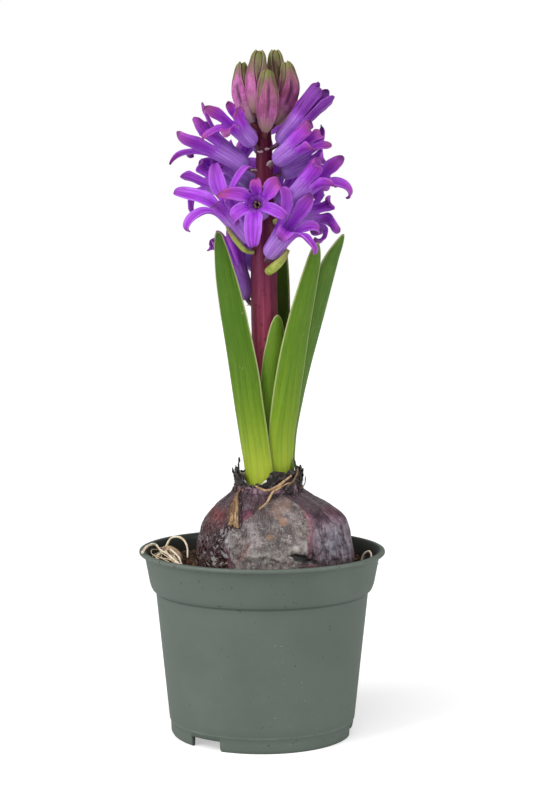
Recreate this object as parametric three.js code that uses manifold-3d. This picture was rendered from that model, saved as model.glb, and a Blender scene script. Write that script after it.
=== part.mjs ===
// A hyacinth in bloom, growing from its bulb in a round plastic nursery pot.
// Millimetres, +Z up. The origin is the centre of the pot's foot, on the surface that it stands on.
// The front of the plant looks along -Y. An azimuth is in degrees from the front, positive towards +X.
// The pot holds potting mix, and the bulb sits half out of it. Five channelled leaves and one stem rise
// from the bulb's neck. Open florets, each on a short stalk, stand round the stem, with closed buds on top.
import * as THREE from "three";
import { mergeVertices } from "three/addons/utils/BufferGeometryUtils.js";
import Module from "manifold-3d";

const wasm = await Module();
wasm.setup();

// Driving dimensions
const GAP = 0.3; // clearance between neighbouring pieces
const POT_HEIGHT = 68;
const LIP_RADIUS = 45;
const FOOT_RADIUS = 33.4;
const POT_WALL = 0.9;
const FOOT_HEIGHT = 5.6;
const FLOOR_UNDERSIDE = 4.2; // the pot's floor is raised above the surface it stands on
const FLOOR_THICKNESS = 1;
const BAND_BOTTOM = 53; // the wide band below the lip starts at this height
const SOIL_LEVEL = 61.5;
const BULB_RADIUS = 29.4;
const BULB_CENTRE_X = 4.2;
const NECK_CENTRE_X = 2.3;
const NECK_TOP = 90.5;
const WELL_RADIUS = 9.8; // the leaves and the stem stand in a well in the bulb's neck
const WELL_FLOOR = 84;
const STEM_TOP = 226;
const PETAL_THICKNESS = 0.64;

const rad = THREE.MathUtils.degToRad;
const lerp = THREE.MathUtils.lerp;
const smooth = (x) => THREE.MathUtils.smoothstep(x, 0, 1);
const vec = (x, y, z) => new THREE.Vector3(x, y, z);
const outward = (azimuth) => vec(Math.sin(rad(azimuth)), -Math.cos(rad(azimuth)), 0);

// The value at x of the curve that runs straight between [x, value, ...] rows.
function along(rows, x, column = 1) {
  const next = rows.findIndex((row) => row[0] >= x);
  if (next === -1) return rows.at(-1)[column];
  if (next === 0) return rows[0][column];
  const [low, high] = [rows[next - 1], rows[next]];
  return lerp(low[column], high[column], (x - low[0]) / (high[0] - low[0]));
}

// Closed solids from points and triangles
function solidOf(points, triangles) {
  const vertProperties = new Float32Array(points.flatMap((p) => [p.x, p.y, p.z]));
  const triVerts = new Uint32Array(triangles.flat());
  return new wasm.Manifold(new wasm.Mesh({ numProp: 3, vertProperties, triVerts }));
}

function solidOfGeometry(geometry) {
  const bare = geometry.clone();
  bare.deleteAttribute("normal");
  bare.deleteAttribute("uv");
  const merged = mergeVertices(bare, 1e-4);
  return new wasm.Manifold(
    new wasm.Mesh({
      numProp: 3,
      vertProperties: merged.attributes.position.array,
      triVerts: new Uint32Array(merged.index.array),
    }),
  );
}

function largestBody(solid) {
  return solid.decompose().reduce((a, b) => (a.volume() > b.volume() ? a : b));
}

function geometryOf(solid) {
  const { numProp, numVert, vertProperties, triVerts } = solid.getMesh();
  const position = new Float32Array(numVert * 3);
  for (let i = 0; i < numVert; i++)
    position.set(vertProperties.subarray(i * numProp, i * numProp + 3), i * 3);
  const geometry = new THREE.BufferGeometry();
  geometry.setAttribute("position", new THREE.BufferAttribute(position, 3));
  geometry.setIndex(new THREE.BufferAttribute(triVerts, 1));
  geometry.computeVertexNormals();
  return geometry;
}

// Joins rings of points, all with the same count, into a closed body with a point at each end.
// Each ring runs anticlockwise when it is seen from the end that the rings lead to.
function loft(rings, startPole, endPole) {
  const count = rings[0].length;
  const points = [startPole, ...rings.flat(), endPole];
  const last = points.length - 1;
  const at = (ring, i) => 1 + ring * count + (i % count);
  const triangles = [];
  for (let i = 0; i < count; i++) {
    triangles.push([0, at(0, i + 1), at(0, i)]);
    triangles.push([last, at(rings.length - 1, i), at(rings.length - 1, i + 1)]);
    for (let ring = 0; ring < rings.length - 1; ring++) {
      triangles.push([at(ring, i), at(ring, i + 1), at(ring + 1, i + 1)]);
      triangles.push([at(ring, i), at(ring + 1, i + 1), at(ring + 1, i)]);
    }
  }
  return solidOf(points, triangles);
}

// A round cord along a list of points, with a radius for each point.
function cord(path, radii, sides) {
  const rings = path.map((point, i) => {
    const ahead = path[Math.min(i + 1, path.length - 1)];
    const behind = path[Math.max(i - 1, 0)];
    const tangent = ahead.clone().sub(behind).normalize();
    const across = Math.abs(tangent.z) > 0.9 ? vec(1, 0, 0) : vec(0, 0, 1);
    const u = across.cross(tangent).normalize();
    const v = tangent.clone().cross(u);
    return Array.from({ length: sides }, (_, k) => {
      const turn = (2 * Math.PI * k) / sides;
      return point
        .clone()
        .addScaledVector(u, radii[i] * Math.cos(turn))
        .addScaledVector(v, radii[i] * Math.sin(turn));
    });
  });
  return loft(rings, path[0], path.at(-1));
}

// A sheet of triangles given a thickness, half to each side. The same triangles are used on both faces.
function thickSheet({ points, faces, thickness }) {
  const normals = points.map(() => vec(0, 0, 0));
  for (const face of faces) {
    const [a, b, c] = face.map((i) => points[i]);
    const normal = b.clone().sub(a).cross(c.clone().sub(a));
    face.forEach((i) => normals[i].add(normal));
  }
  normals.forEach((normal) => normal.normalize());
  const half = (i) => (Array.isArray(thickness) ? thickness[i] : thickness) / 2;
  const outer = points.map((p, i) => p.clone().addScaledVector(normals[i], half(i)));
  const inner = points.map((p, i) => p.clone().addScaledVector(normals[i], -half(i)));
  const count = points.length;
  const triangles = [];
  const border = new Map();
  for (const [a, b, c] of faces) {
    triangles.push([a, b, c], [a + count, c + count, b + count]);
    for (const [i, j] of [[a, b], [b, c], [c, a]]) {
      if (!border.delete(`${j} ${i}`)) border.set(`${i} ${j}`, [i, j]);
    }
  }
  for (const [i, j] of border.values()) {
    triangles.push([j, i, i + count], [j, i + count, j + count]);
  }
  return solidOf([...outer, ...inner], triangles);
}

// Pot: a thin wall with a foot, a wide band and a flared lip
const BAND_LEDGE_RADIUS = 39;
const potOutline = [
  [FOOT_RADIUS - 0.6, 0],
  [FOOT_RADIUS + 0.1, 1.2],
  [FOOT_RADIUS + 0.3, FOOT_HEIGHT],
  [FOOT_RADIUS + 0.7, FOOT_HEIGHT],
  [BAND_LEDGE_RADIUS, BAND_BOTTOM],
  [BAND_LEDGE_RADIUS + 1.3, BAND_BOTTOM + 1],
  [BAND_LEDGE_RADIUS + 2.2, BAND_BOTTOM + 3.2],
  [LIP_RADIUS - 2, POT_HEIGHT - 1.9],
  [LIP_RADIUS, POT_HEIGHT - 1.2],
  [LIP_RADIUS, POT_HEIGHT - 0.2],
  [LIP_RADIUS - 0.4, POT_HEIGHT],
  [LIP_RADIUS - 2.3, POT_HEIGHT],
  [LIP_RADIUS - 3.1, POT_HEIGHT - 2],
  [BAND_LEDGE_RADIUS + 1.1, BAND_BOTTOM + 3.4],
  [BAND_LEDGE_RADIUS - POT_WALL, BAND_BOTTOM],
  [FOOT_RADIUS - 0.4, FLOOR_UNDERSIDE + FLOOR_THICKNESS],
];
const potInnerRadius = (z) =>
  along(
    potOutline.slice(11).map(([r, height]) => [height, r]).reverse(),
    z,
  );

function makePot() {
  const floorTop = FLOOR_UNDERSIDE + FLOOR_THICKNESS;
  const profile = [
    [0, FLOOR_UNDERSIDE],
    [FOOT_RADIUS - 1.9, FLOOR_UNDERSIDE],
    [FOOT_RADIUS - 1.7, 0],
    ...potOutline,
    [0, floorTop],
  ].map(([r, z]) => new THREE.Vector2(r, z));
  const turned = new THREE.LatheGeometry(profile, 40).rotateX(Math.PI / 2);
  let pot = solidOfGeometry(turned);
  const notchAzimuths = [-37.5, 82.5, 202.5];
  for (const azimuth of notchAzimuths) {
    const middle = outward(azimuth).multiplyScalar(FOOT_RADIUS);
    const notch = new THREE.BoxGeometry(13, 8, 7.6);
    notch.rotateZ(rad(azimuth)).translate(middle.x, middle.y, 0);
    pot = pot.subtract(solidOfGeometry(notch));
  }
  const drainHoles = [vec(0, 0, 0), ...notchAzimuths.map((a) => outward(a).multiplyScalar(25))];
  for (const { x, y } of drainHoles) {
    const hole = new THREE.CylinderGeometry(3, 3, 6, 12);
    hole.rotateX(Math.PI / 2).translate(x, y, floorTop);
    pot = pot.subtract(solidOfGeometry(hole));
  }
  return pot;
}

// Bulb: a squat onion shape on a basal plate, with a well in its neck for the leaves and the stem
const bulbOutline = [
  [8.5, 35.5],
  [10.5, 38],
  [20, 43],
  [27, 52],
  [BULB_RADIUS, 62],
  [28.6, 70.5],
  [26.1, 78.5],
  [21.2, 84],
  [15.6, 87.8],
  [12.5, 90],
  [11.3, NECK_TOP],
];
const BULB_SECTORS = 26;

// How far the bulb's outside stands out at a turn and height: broad lobes, and a shallow step where
// the outer skin ends.
function bulbSwell(turn, z) {
  const share = Math.sin(Math.PI * THREE.MathUtils.clamp((z - 34) / 62, 0, 1));
  const lobes = 0.5 * Math.sin(3 * turn + 0.9) + 0.35 * Math.sin(5 * turn - 0.06 * z);
  return share * lobes;
}

const bulbCentreX = (z) => lerp(BULB_CENTRE_X, NECK_CENTRE_X, smooth((z - 80) / 12));

function bulbPoint(turn, radius, z, offset = 0) {
  const r = radius + bulbSwell(turn, z) + offset;
  return vec(bulbCentreX(z) + r * Math.cos(turn), r * Math.sin(turn) * 0.98, z);
}

function bulbRings(offset) {
  return bulbOutline.map(([radius, z]) =>
    Array.from({ length: BULB_SECTORS }, (_, i) =>
      bulbPoint((2 * Math.PI * i) / BULB_SECTORS, radius, z, offset),
    ),
  );
}

function makeBulb() {
  const well = [NECK_TOP, WELL_FLOOR].map((z) =>
    Array.from({ length: BULB_SECTORS }, (_, i) => {
      const turn = (2 * Math.PI * i) / BULB_SECTORS;
      return vec(
        NECK_CENTRE_X + WELL_RADIUS * Math.cos(turn),
        WELL_RADIUS * Math.sin(turn),
        z,
      );
    }),
  );
  const start = vec(BULB_CENTRE_X, 0, bulbOutline[0][1] + 0.5);
  return loft([...bulbRings(0), ...well], start, vec(NECK_CENTRE_X, 0, WELL_FLOOR));
}

// The bulb's outside grown by an offset, with no well, to cut its neighbours clear of it.
function grownBulb(offset) {
  const start = vec(BULB_CENTRE_X, 0, bulbOutline[0][1] - offset);
  const rings = bulbRings(offset);
  rings[0].forEach((point) => (point.z -= offset));
  return loft(rings, start, vec(NECK_CENTRE_X, 0, NECK_TOP));
}

// A point on the bulb's outside at an azimuth and height, lifted off it.
function onBulb(azimuth, z, lift) {
  const radius = along(bulbOutline.map(([r, height]) => [height, r]), z);
  return bulbPoint(rad(azimuth - 90), radius, z, lift);
}

// Potting mix: fills the pot, with a lumpy top and a plain hole for the bulb
function soilHeight(x, y) {
  const lumps = Math.sin(x * 0.55 + 1.3) * Math.cos(y * 0.6) + 0.6 * Math.sin(x * 0.9 - y * 1.1);
  const heap = 1.6 * Math.exp(-((x + 30) ** 2 + (y + 6) ** 2) / 90);
  return SOIL_LEVEL + 0.55 * lumps + heap;
}

function makeSoil(bulbHole, rootHole) {
  const sectors = 32;
  const ring = (radius, z) =>
    Array.from({ length: sectors }, (_, i) => {
      const turn = (2 * Math.PI * i) / sectors;
      const [x, y] = [radius * Math.cos(turn), radius * Math.sin(turn)];
      return vec(x, y, z ?? soilHeight(x, y));
    });
  const side = FLOOR_UNDERSIDE + FLOOR_THICKNESS + GAP;
  const rings = [
    ring(potInnerRadius(side) - GAP - 0.2, side),
    ring(potInnerRadius(BAND_BOTTOM) - GAP - 0.2, BAND_BOTTOM),
    ring(potInnerRadius(BAND_BOTTOM + 3.4) - GAP - 0.2, BAND_BOTTOM + 3.6),
    ring(potInnerRadius(SOIL_LEVEL) - GAP - 0.3),
    ring(36.5),
    ring(32),
    ring(26),
  ];
  return loft(rings, vec(0, 0, side), vec(0, 0, SOIL_LEVEL)).subtract(bulbHole).subtract(rootHole);
}

// Stem: a fleshy upright stalk, slightly angled in section
const stemRows = [
  // height, centre x, radius
  [WELL_FLOOR + GAP, 2.6, 4.4],
  [100, 2.4, 4.6],
  [116, 1.9, 4.7],
  [134, 1.3, 4.8],
  [150, 0.9, 4.85],
  [167, 0.6, 4.8],
  [180, 0.6, 4.4],
  [192, 0.7, 3.7],
  [204, 0.8, 3.15],
  [214, 0.7, 2.9],
  [221, 0.5, 2.5],
  [STEM_TOP, 0.5, 1.6],
];
const stemCentre = (z) => vec(along(stemRows, z), 0, z);

function makeStem(offset = 0) {
  const sides = 12;
  const rings = stemRows.map(([z, x, radius]) =>
    Array.from({ length: sides }, (_, i) => {
      const turn = (2 * Math.PI * i) / sides;
      const r = radius * (1 + 0.025 * Math.cos(3 * turn)) + offset;
      return vec(x + r * Math.cos(turn), r * Math.sin(turn), z);
    }),
  );
  const foot = vec(stemRows[0][1], 0, stemRows[0][0]);
  return loft(rings, foot, vec(stemRows.at(-1)[1], 0, STEM_TOP + 0.6 + offset));
}

// Leaves: channelled blades that clasp the stem at the neck and lean outwards
// Each row: height, middle x, middle y, width, half arc of the channel, azimuth that the back faces
const LEAF_THICKNESS = 1.3;
const LEAF_COLUMNS = 4;
const leafRows = {
  leaf_front_left: [
    [84.4, -1.8, -6.4, 9.4, 50, -38],
    [92, -2.3, -6.9, 11.2, 46, -38],
    [98, -2.7, -7.3, 12.4, 44, -37],
    [108, -3.9, -7.8, 12.4, 40, -34],
    [122, -5.7, -8.3, 12.0, 35, -30],
    [134, -7.2, -8.2, 11.6, 32, -26],
    [145, -9.0, -8.4, 10.8, 30, -24],
    [156, -11.0, -8.5, 9.8, 30, -22],
    [166, -12.9, -8.6, 8.3, 30, -22],
    [175, -14.4, -8.6, 5.4, 28, -22],
    [181, -15.3, -8.6, 2.6, 24, -22],
    [183.6, -15.6, -8.6, 0.9, 20, -22],
  ],
  leaf_front_right: [
    [84.4, 7.6, -5.3, 6.0, 34, 42],
    [92, 7.8, -5.7, 7.2, 34, 40],
    [98, 7.6, -6.2, 8.4, 32, 34],
    [108, 7.5, -6.9, 10.2, 30, 28],
    [122, 9.1, -7.7, 11.0, 30, 26],
    [134, 10.7, -8.1, 10.8, 30, 26],
    [145, 12.5, -8.4, 10.0, 30, 26],
    [156, 14.7, -8.8, 8.8, 30, 26],
    [166, 16.9, -9.2, 7.2, 28, 26],
    [173, 18.5, -9.4, 5.2, 26, 26],
    [177.5, 19.3, -9.5, 2.9, 24, 26],
    [179.4, 19.6, -9.5, 1.0, 20, 26],
  ],
  leaf_back_right: [
    [84.4, 10.8, 2.2, 6.4, 34, 100],
    [92, 11.0, 2.2, 7.4, 32, 98],
    [98, 11.2, 2.2, 8.6, 32, 92],
    [108, 11.6, 1.0, 10.8, 30, 80],
    [122, 13.4, 0.4, 11.6, 30, 66],
    [134, 15.2, 0.0, 11.8, 30, 54],
    [146, 17.6, -0.4, 11.6, 30, 46],
    [156, 20.0, -0.8, 11.0, 30, 42],
    [166, 22.8, -1.2, 9.6, 30, 40],
    [174, 25.4, -1.6, 7.2, 28, 40],
    [179.5, 27.8, -1.9, 3.8, 24, 40],
    [182.4, 29.1, -2.0, 1.0, 20, 40],
  ],
  leaf_inner_front: [
    [84.4, 3.2, -5.6, 4.4, 30, 4],
    [94, 3.2, -5.7, 5.0, 30, 4],
    [103, 3.4, -5.9, 6.6, 30, 4],
    [115, 3.4, -6.2, 7.8, 30, 6],
    [128, 3.6, -6.4, 8.2, 28, 8],
    [138, 4.3, -6.6, 7.8, 28, 10],
    [145, 5.0, -6.7, 6.2, 26, 10],
    [150.5, 5.4, -6.8, 3.8, 24, 10],
    [153.6, 5.5, -6.8, 1.0, 20, 10],
  ],
  leaf_back: [
    [84.4, 1.6, 6.6, 8.2, 44, 186],
    [98, 2.0, 6.8, 9.8, 42, 184],
    [115, 3.2, 7.2, 10.6, 36, 180],
    [134, 4.6, 7.8, 10.8, 32, 176],
    [150, 5.2, 8.2, 10.2, 30, 174],
    [164, 5.6, 8.6, 9.0, 30, 174],
    [176, 6.0, 9.0, 6.6, 28, 174],
    [183, 6.4, 9.2, 3.6, 24, 174],
    [186.5, 6.7, 9.3, 1.0, 20, 174],
  ],
};

function makeLeaf(rows) {
  const points = [];
  const faces = [];
  const thickness = [];
  const perRow = LEAF_COLUMNS + 1;
  rows.forEach(([z, x, y, width, halfArc, azimuth], row) => {
    const back = outward(azimuth);
    const side = vec(0, 0, 1).cross(back);
    const radius = width / 2 / Math.sin(rad(halfArc));
    for (let i = 0; i < perRow; i++) {
      const across = (2 * i) / LEAF_COLUMNS - 1;
      const angle = rad(halfArc) * across;
      points.push(
        vec(x, y, z)
          .addScaledVector(side, radius * Math.sin(angle))
          .addScaledVector(back, radius * (Math.cos(angle) - 1)),
      );
      const thin = Math.min(1, width / 5);
      thickness.push(Math.max(0.62, LEAF_THICKNESS * thin * (1 - 0.45 * across ** 2)));
    }
    if (row === 0) return;
    for (let i = 0; i < LEAF_COLUMNS; i++) {
      const a = (row - 1) * perRow + i;
      faces.push([a, a + 1, a + 1 + perRow], [a, a + 1 + perRow, a + perRow]);
    }
  });
  return thickSheet({ points, faces, thickness });
}

// Florets: a swollen tube that opens into six lobes, which curl back
// The tube's outline: share of its length from the base, radius
const tubeOutline = [
  [0.1, 2.5],
  [0.42, 3.25],
  [1, 3.7],
];
const TUBE_FLARE = 12; // degrees that the tube's wall leans out at the mouth
const LOBE_LENGTH = 15.5;
const LOBE_MAX_WIDTH = 5.8;
const LOBE_COLUMNS = 2;
const LOBE_CLEARANCE = 0.25; // from a lobe's edge to the middle of the slit beside it
const CHANNEL = 0.32; // how deep a lobe is channelled, as a share of half its width
const LOBE_ROWS = [0.24, 0.5, 0.77, 1]; // shares of the lobe's length
const lobeWidth = (s) =>
  s < 0.45 ? lerp(0.8, 1, smooth(s / 0.45)) : Math.sqrt(1 - ((s - 0.45) / 0.58) ** 2.3);

// The middle line of a lobe in its own plane. Each row gives the distance out from the mouth's edge, the
// height above it and the angle from the tube's axis, all at one of the lobe's shares.
function lobeLine(length, reflex, curl) {
  const steps = 100;
  const line = [];
  let [out, up] = [0, 0];
  for (let step = 0; step <= steps; step++) {
    const s = step / steps;
    const bend = reflex * smooth(s / 0.6) + curl * smooth((s - 0.5) / 0.5);
    const angle = rad(TUBE_FLARE + bend);
    line.push([out, up, angle]);
    out += (length / steps) * Math.sin(angle);
    up += (length / steps) * Math.cos(angle);
  }
  return LOBE_ROWS.map((share) => line[Math.round(share * steps)]);
}

function makeFloretShell({ axis, up, base, tube, size, lobes }) {
  const side = axis.clone().cross(up);
  const place = (radial, tangential, height, turn) => {
    const direction = up
      .clone()
      .multiplyScalar(Math.cos(turn))
      .addScaledVector(side, Math.sin(turn));
    const crossways = up
      .clone()
      .multiplyScalar(-Math.sin(turn))
      .addScaledVector(side, Math.cos(turn));
    return base
      .clone()
      .addScaledVector(axis, height)
      .addScaledVector(direction, radial)
      .addScaledVector(crossways, tangential);
  };
  const points = [place(0, 0, 0, 0)];
  const faces = [];
  const around = 6 * LOBE_COLUMNS;
  tubeOutline.forEach(([share, radius], row) => {
    for (let i = 0; i < around; i++) {
      points.push(place(radius * size, 0, share * tube, (2 * Math.PI * i) / around));
    }
    for (let i = 0; i < around; i++) {
      const a = 1 + row * around + i;
      const b = 1 + row * around + ((i + 1) % around);
      if (row === 0) faces.push([0, a, b]);
      else faces.push([a - around, a, b], [a - around, b, b - around]);
    }
  });
  const mouthStart = 1 + (tubeOutline.length - 1) * around;
  const mouthRadius = tubeOutline.at(-1)[1] * size;
  lobes.forEach(([reflex, curl, sway, lengthShare], lobe) => {
    const middle = (2 * Math.PI * (lobe * LOBE_COLUMNS + LOBE_COLUMNS / 2)) / around;
    const length = LOBE_LENGTH * size * lengthShare;
    const line = lobeLine(length, reflex, curl);
    let previous = Array.from(
      { length: LOBE_COLUMNS + 1 },
      (_, i) => mouthStart + ((lobe * LOBE_COLUMNS + i) % around),
    );
    LOBE_ROWS.forEach((s, row) => {
      const [out, rise, angle] = line[row];
      const radial = mouthRadius + out;
      // A lobe keeps inside its sixth of a turn, so that closed lobes stand side by side.
      const sixth = Math.tan(Math.PI / 6);
      const room = (radial * sixth - LOBE_CLEARANCE) / (1 + CHANNEL * Math.cos(angle) * sixth);
      const half = Math.min((LOBE_MAX_WIDTH * size * lobeWidth(s)) / 2, room);
      const current = [];
      for (let i = 0; i <= LOBE_COLUMNS; i++) {
        const across = (2 * i) / LOBE_COLUMNS - 1;
        const channel = CHANNEL * half * across ** 2;
        current.push(points.length);
        points.push(
          place(
            radial - channel * Math.cos(angle),
            half * across + sway * length * s ** 2,
            tube + rise + channel * Math.sin(angle),
            middle,
          ),
        );
      }
      for (let i = 0; i < LOBE_COLUMNS; i++) {
        const [a, b, c, d] = [previous[i], previous[i + 1], current[i + 1], current[i]];
        faces.push([a, d, c], [a, c, b]);
      }
      previous = current;
    });
  });
  return thickSheet({ points, faces, thickness: PETAL_THICKNESS });
}

function makeStalk(azimuth, rootHeight, tip, tipDirection, radius) {
  const start = stemCentre(rootHeight);
  const curve = new THREE.QuadraticBezierCurve3(
    start.clone().addScaledVector(outward(azimuth), along(stemRows, rootHeight, 2) * 0.5),
    tip.clone().addScaledVector(tipDirection, -2.4),
    tip.clone().addScaledVector(tipDirection, 0.5),
  );
  return cord(curve.getPoints(4), [1.1, 1, 0.9, 0.95, 1.1].map((r) => r * radius), 6);
}

// Each floret: azimuth and height of its base, distance of the base from the stem's axis, azimuth and angle
// above the horizon that it aims at, roll round its own axis, tube length, size, and six lobes. The lobes
// start 30 degrees on from the top and go round clockwise when the floret is seen from its base.
// Each lobe: degrees that it bends back, degrees that its tip curls on, sideways sway, share of length.
const open = [75, 45, 0, 1];
const florets = {
  upper_left: { base: [-56, 215.2, 4.4], aim: [-50, 40], roll: 0, tube: 8.8, size: 0.88, lobes: [
    [0, 0, -0.1, 0.65], [8, 5, 0.1, 0.95], [62, 5, 0, 0.95], [40, 60, 0, 0.75], [8, 20, 0, 0.7], [24, -50, -0.1, 0.5],
  ] },
  upper_right: { base: [72, 215.4, 5.6], aim: [72, 48], roll: 0, tube: 12, size: 0.92, lobes: [
    [-12, 0, 0, 0.95], [-8, 6, 0, 0.95], [0, 0, 0, 1.02], [-6, 0, 0, 0.9], [-4, 8, 0, 0.95], [-12, 4, 0, 0.95],
  ] },
  middle_left: { base: [-84, 206.8, 6], aim: [-89, 33], roll: 30, tube: 12.5, size: 1, lobes: [
    [0, 150, 0, 0.8], [50, 40, 0, 1], [30, 40, 0, 1.1], [24, -65, 0, 1.1], [12, 0, 0, 0.9], [20, 5, 0, 1],
  ] },
  middle_right: { base: [52, 208.6, 5.2], aim: [54, 33], roll: 0, tube: 10.5, size: 0.95, lobes: [
    [-12, 10, 0, 0.58], [-4, 40, 0, 0.9], [25, 20, 0, 0.7], [18, 0, 0, 0.78], [-5, 60, 0, 0.62], [0, 30, 0, 0.6],
  ] },
  lower_left: { base: [-100, 195.6, 7.2], aim: [-99, 29], roll: 30, tube: 12.5, size: 1, lobes: [
    [70, 70, 0, 0.75], [75, 60, 0, 0.85], [88, 25, 0, 0.85], [0, 30, 0, 0.75], [6, 90, 0, 0.6], [100, 60, 0, 0.33],
  ] },
  front_left: { base: [-46, 180.4, 6.8], aim: [-54, 48], roll: 8, tube: 14, size: 1, lobes: [
    [38, 10, 0, 1.15], [58, -5, 0, 1.42], [70, 40, 0, 1.1], [10, 30, 0, 0.6], [10, 20, 0, 0.5], [50, 10, -0.15, 1.1],
  ] },
  front: { base: [-8, 190.2, 6.6], aim: [-8, 17], roll: -30, tube: 11.5, size: 1, lobes: [
    [15, 90, 0.1, 0.48], [66, 10, 0.5, 0.85], [64, 140, 0.25, 0.74], [82, 12, 0, 1.08], [72, 50, 0, 0.75],
    [50, 40, 0.2, 0.62],
  ] },
  lower_right: { base: [64, 192, 8], aim: [64, 43], roll: 0, tube: 13, size: 1, lobes: [
    [-8, 20, 0, 0.55], [12, 70, 0, 0.85], [35, 15, 0, 0.8], [50, 70, 0, 1.05], [5, 10, 0, 0.95], [0, 20, 0, 0.55],
  ] },
  front_right: { base: [16, 175, 6.2], aim: [50, 48], roll: -30, tube: 11, size: 1, lobes: [
    [22, 35, 0, 1], [18, 20, 0, 0.8], [60, 120, 0, 0.7], [75, 15, 0, 0.95], [35, 70, 0, 0.75], [5, 0, 0, 1],
  ] },
  back_right: { base: [106, 187, 7], aim: [106, 14], roll: -30, tube: 11.5, size: 1, lobes: [
    [70, 60, 0, 0.75], [0, 160, 0, 0.6], [95, -60, 0, 0.86], [100, 110, 0, 0.7], [80, 50, 0, 0.9], [50, 60, 0, 0.8],
  ] },
  low_back_left: { base: [-116, 159.4, 6.8], aim: [-116, 68], roll: 0, tube: 12, size: 0.95, lobes: [
    [-8, 5, 0, 1], [-6, 8, 0, 1], [0, 10, 0, 0.8], [-9, 6, 0, 0.88], [-9, 8, 0, 1], [-8, 5, 0, 1],
  ] },
  back_left: { base: [-146, 201, 7.2], aim: [-150, 24], roll: 0, tube: 12, size: 1, lobes: [
    [84, 80, 0, 0.68], open, [80, 50, 0, 1], [80, 80, 0, 0.8], open, [70, 90, 0, 0.75],
  ] },
  back_upper_right: { base: [110, 204.6, 6.4], aim: [112, 24], roll: 0, tube: 11, size: 0.95, lobes: [
    [42, 10, 0, 0.85], [88, 70, 0, 0.75], [95, 40, 0, 0.85], [95, 40, 0, 0.8], [80, 40, 0, 0.9], [50, 20, 0, 0.8],
  ] },
  back_top: { base: [-172, 213, 5.4], aim: [-172, 32], roll: 0, tube: 11, size: 0.9, lobes: [
    [40, 20, 0, 1], [60, 30, 0, 1], [50, 30, 0, 0.85], [50, 30, 0, 0.85], [60, 30, 0, 1], [40, 20, 0, 1],
  ] },
  back: { base: [158, 191.8, 7], aim: [157, 24], roll: 0, tube: 12, size: 1, lobes: [
    [70, 40, 0, 1], open, [85, 50, 0, 1], [85, 60, 0, 0.9], open, [70, 40, 0, 1],
  ] },
  back_low: { base: [-160, 170.8, 7.2], aim: [-164, 28], roll: 0, tube: 12, size: 1, lobes: [
    [60, 40, 0, 1], open, [80, 50, 0, 1], [80, 50, 0, 1], open, [60, 40, 0, 1],
  ] },
};

function makeFloret({ base: [azimuth, height, reach], aim, roll, tube, size, lobes }, stemHole) {
  const base = stemCentre(height).addScaledVector(outward(azimuth), reach);
  const axis = outward(aim[0])
    .multiplyScalar(Math.cos(rad(aim[1])))
    .add(vec(0, 0, Math.sin(rad(aim[1]))));
  const up = vec(0, 0, 1).addScaledVector(axis, -axis.z).normalize();
  up.applyAxisAngle(axis, rad(roll));
  const shell = makeFloretShell({ axis, up, base, tube, size, lobes });
  const stalk = makeStalk(azimuth, height - 1.6, base, axis, 1.05 * size);
  return largestBody(shell.add(stalk).subtract(stemHole));
}

// Buds: closed, grooved between their six folded lobes, on short stalks round the stem's top
// Each bud: azimuth and height where its stalk leaves the stem, its widest place, its tip, its radius
const buds = {
  left: { stalk: [-92, 220.5], belly: [-7.3, 2.8, 234.4], tip: [-7.7, 3.2, 244.4], radius: 3.3 },
  right: { stalk: [84, 220.5], belly: [9.5, -1.6, 234.8], tip: [9.2, -0.8, 244.3], radius: 3.6 },
  front: { stalk: [8, 217.5], belly: [1.8, -8.6, 231], tip: [1.9, -8, 240.8], radius: 3.8 },
  top_left: { stalk: [-50, 224], belly: [-2.2, -2.2, 239.4], tip: [-1.2, -1.4, 248.2], radius: 3.5 },
  top_right: { stalk: [130, 224], belly: [4.4, 4, 239], tip: [4, 3.4, 248.8], radius: 3.3 },
  back_left: { stalk: [-150, 220], belly: [-4.6, 9.8, 231.4], tip: [-4.2, 9.2, 241], radius: 3.3 },
  back_right: { stalk: [128, 220], belly: [9.4, 8, 231], tip: [8.8, 7.4, 240], radius: 3.3 },
  back: { stalk: [176, 217.5], belly: [2.7, 11, 228.6], tip: [2.6, 10.6, 238], radius: 3.3 },
};
// The outline: share along the bud, share of the radius
const budOutline = [
  [0.1, 0.42],
  [0.26, 0.68],
  [0.45, 0.95],
  [0.62, 1],
  [0.8, 0.84],
  [0.94, 0.5],
];

function makeBud({ stalk: [azimuth, height], belly, tip, radius }, stemHole) {
  const root = stemCentre(height);
  const clear = along(stemRows, height, 2) + 1.4;
  const start = root.clone().addScaledVector(outward(azimuth), clear).add(vec(0, 0, 2));
  const [middle, end] = [vec(...belly), vec(...tip)];
  const spine = new THREE.CatmullRomCurve3([start, middle, end]);
  const across = vec(0, 0, 1).cross(outward(azimuth));
  const sides = 12;
  const rings = budOutline.map(([share, width]) => {
    const tangent = spine.getTangentAt(share);
    const side = across.clone().addScaledVector(tangent, -across.dot(tangent)).normalize();
    const out = side.clone().cross(tangent);
    const centre = spine.getPointAt(share);
    return Array.from({ length: sides }, (_, i) => {
      const turn = (2 * Math.PI * i) / sides;
      const r = radius * width * (i % 2 ? 1 : 0.9);
      return centre
        .clone()
        .addScaledVector(side, r * Math.cos(turn))
        .addScaledVector(out, -r * Math.sin(turn));
    });
  });
  const body = loft(rings, start, end);
  const inside = root.clone().addScaledVector(outward(azimuth), along(stemRows, height, 2) * 0.5);
  const path = [inside, start, spine.getPointAt(0.12), spine.getPointAt(0.24)];
  return largestBody(body.add(cord(path, [0.9, 0.9, 1.1, 1.1], 6)).subtract(stemHole));
}

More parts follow.
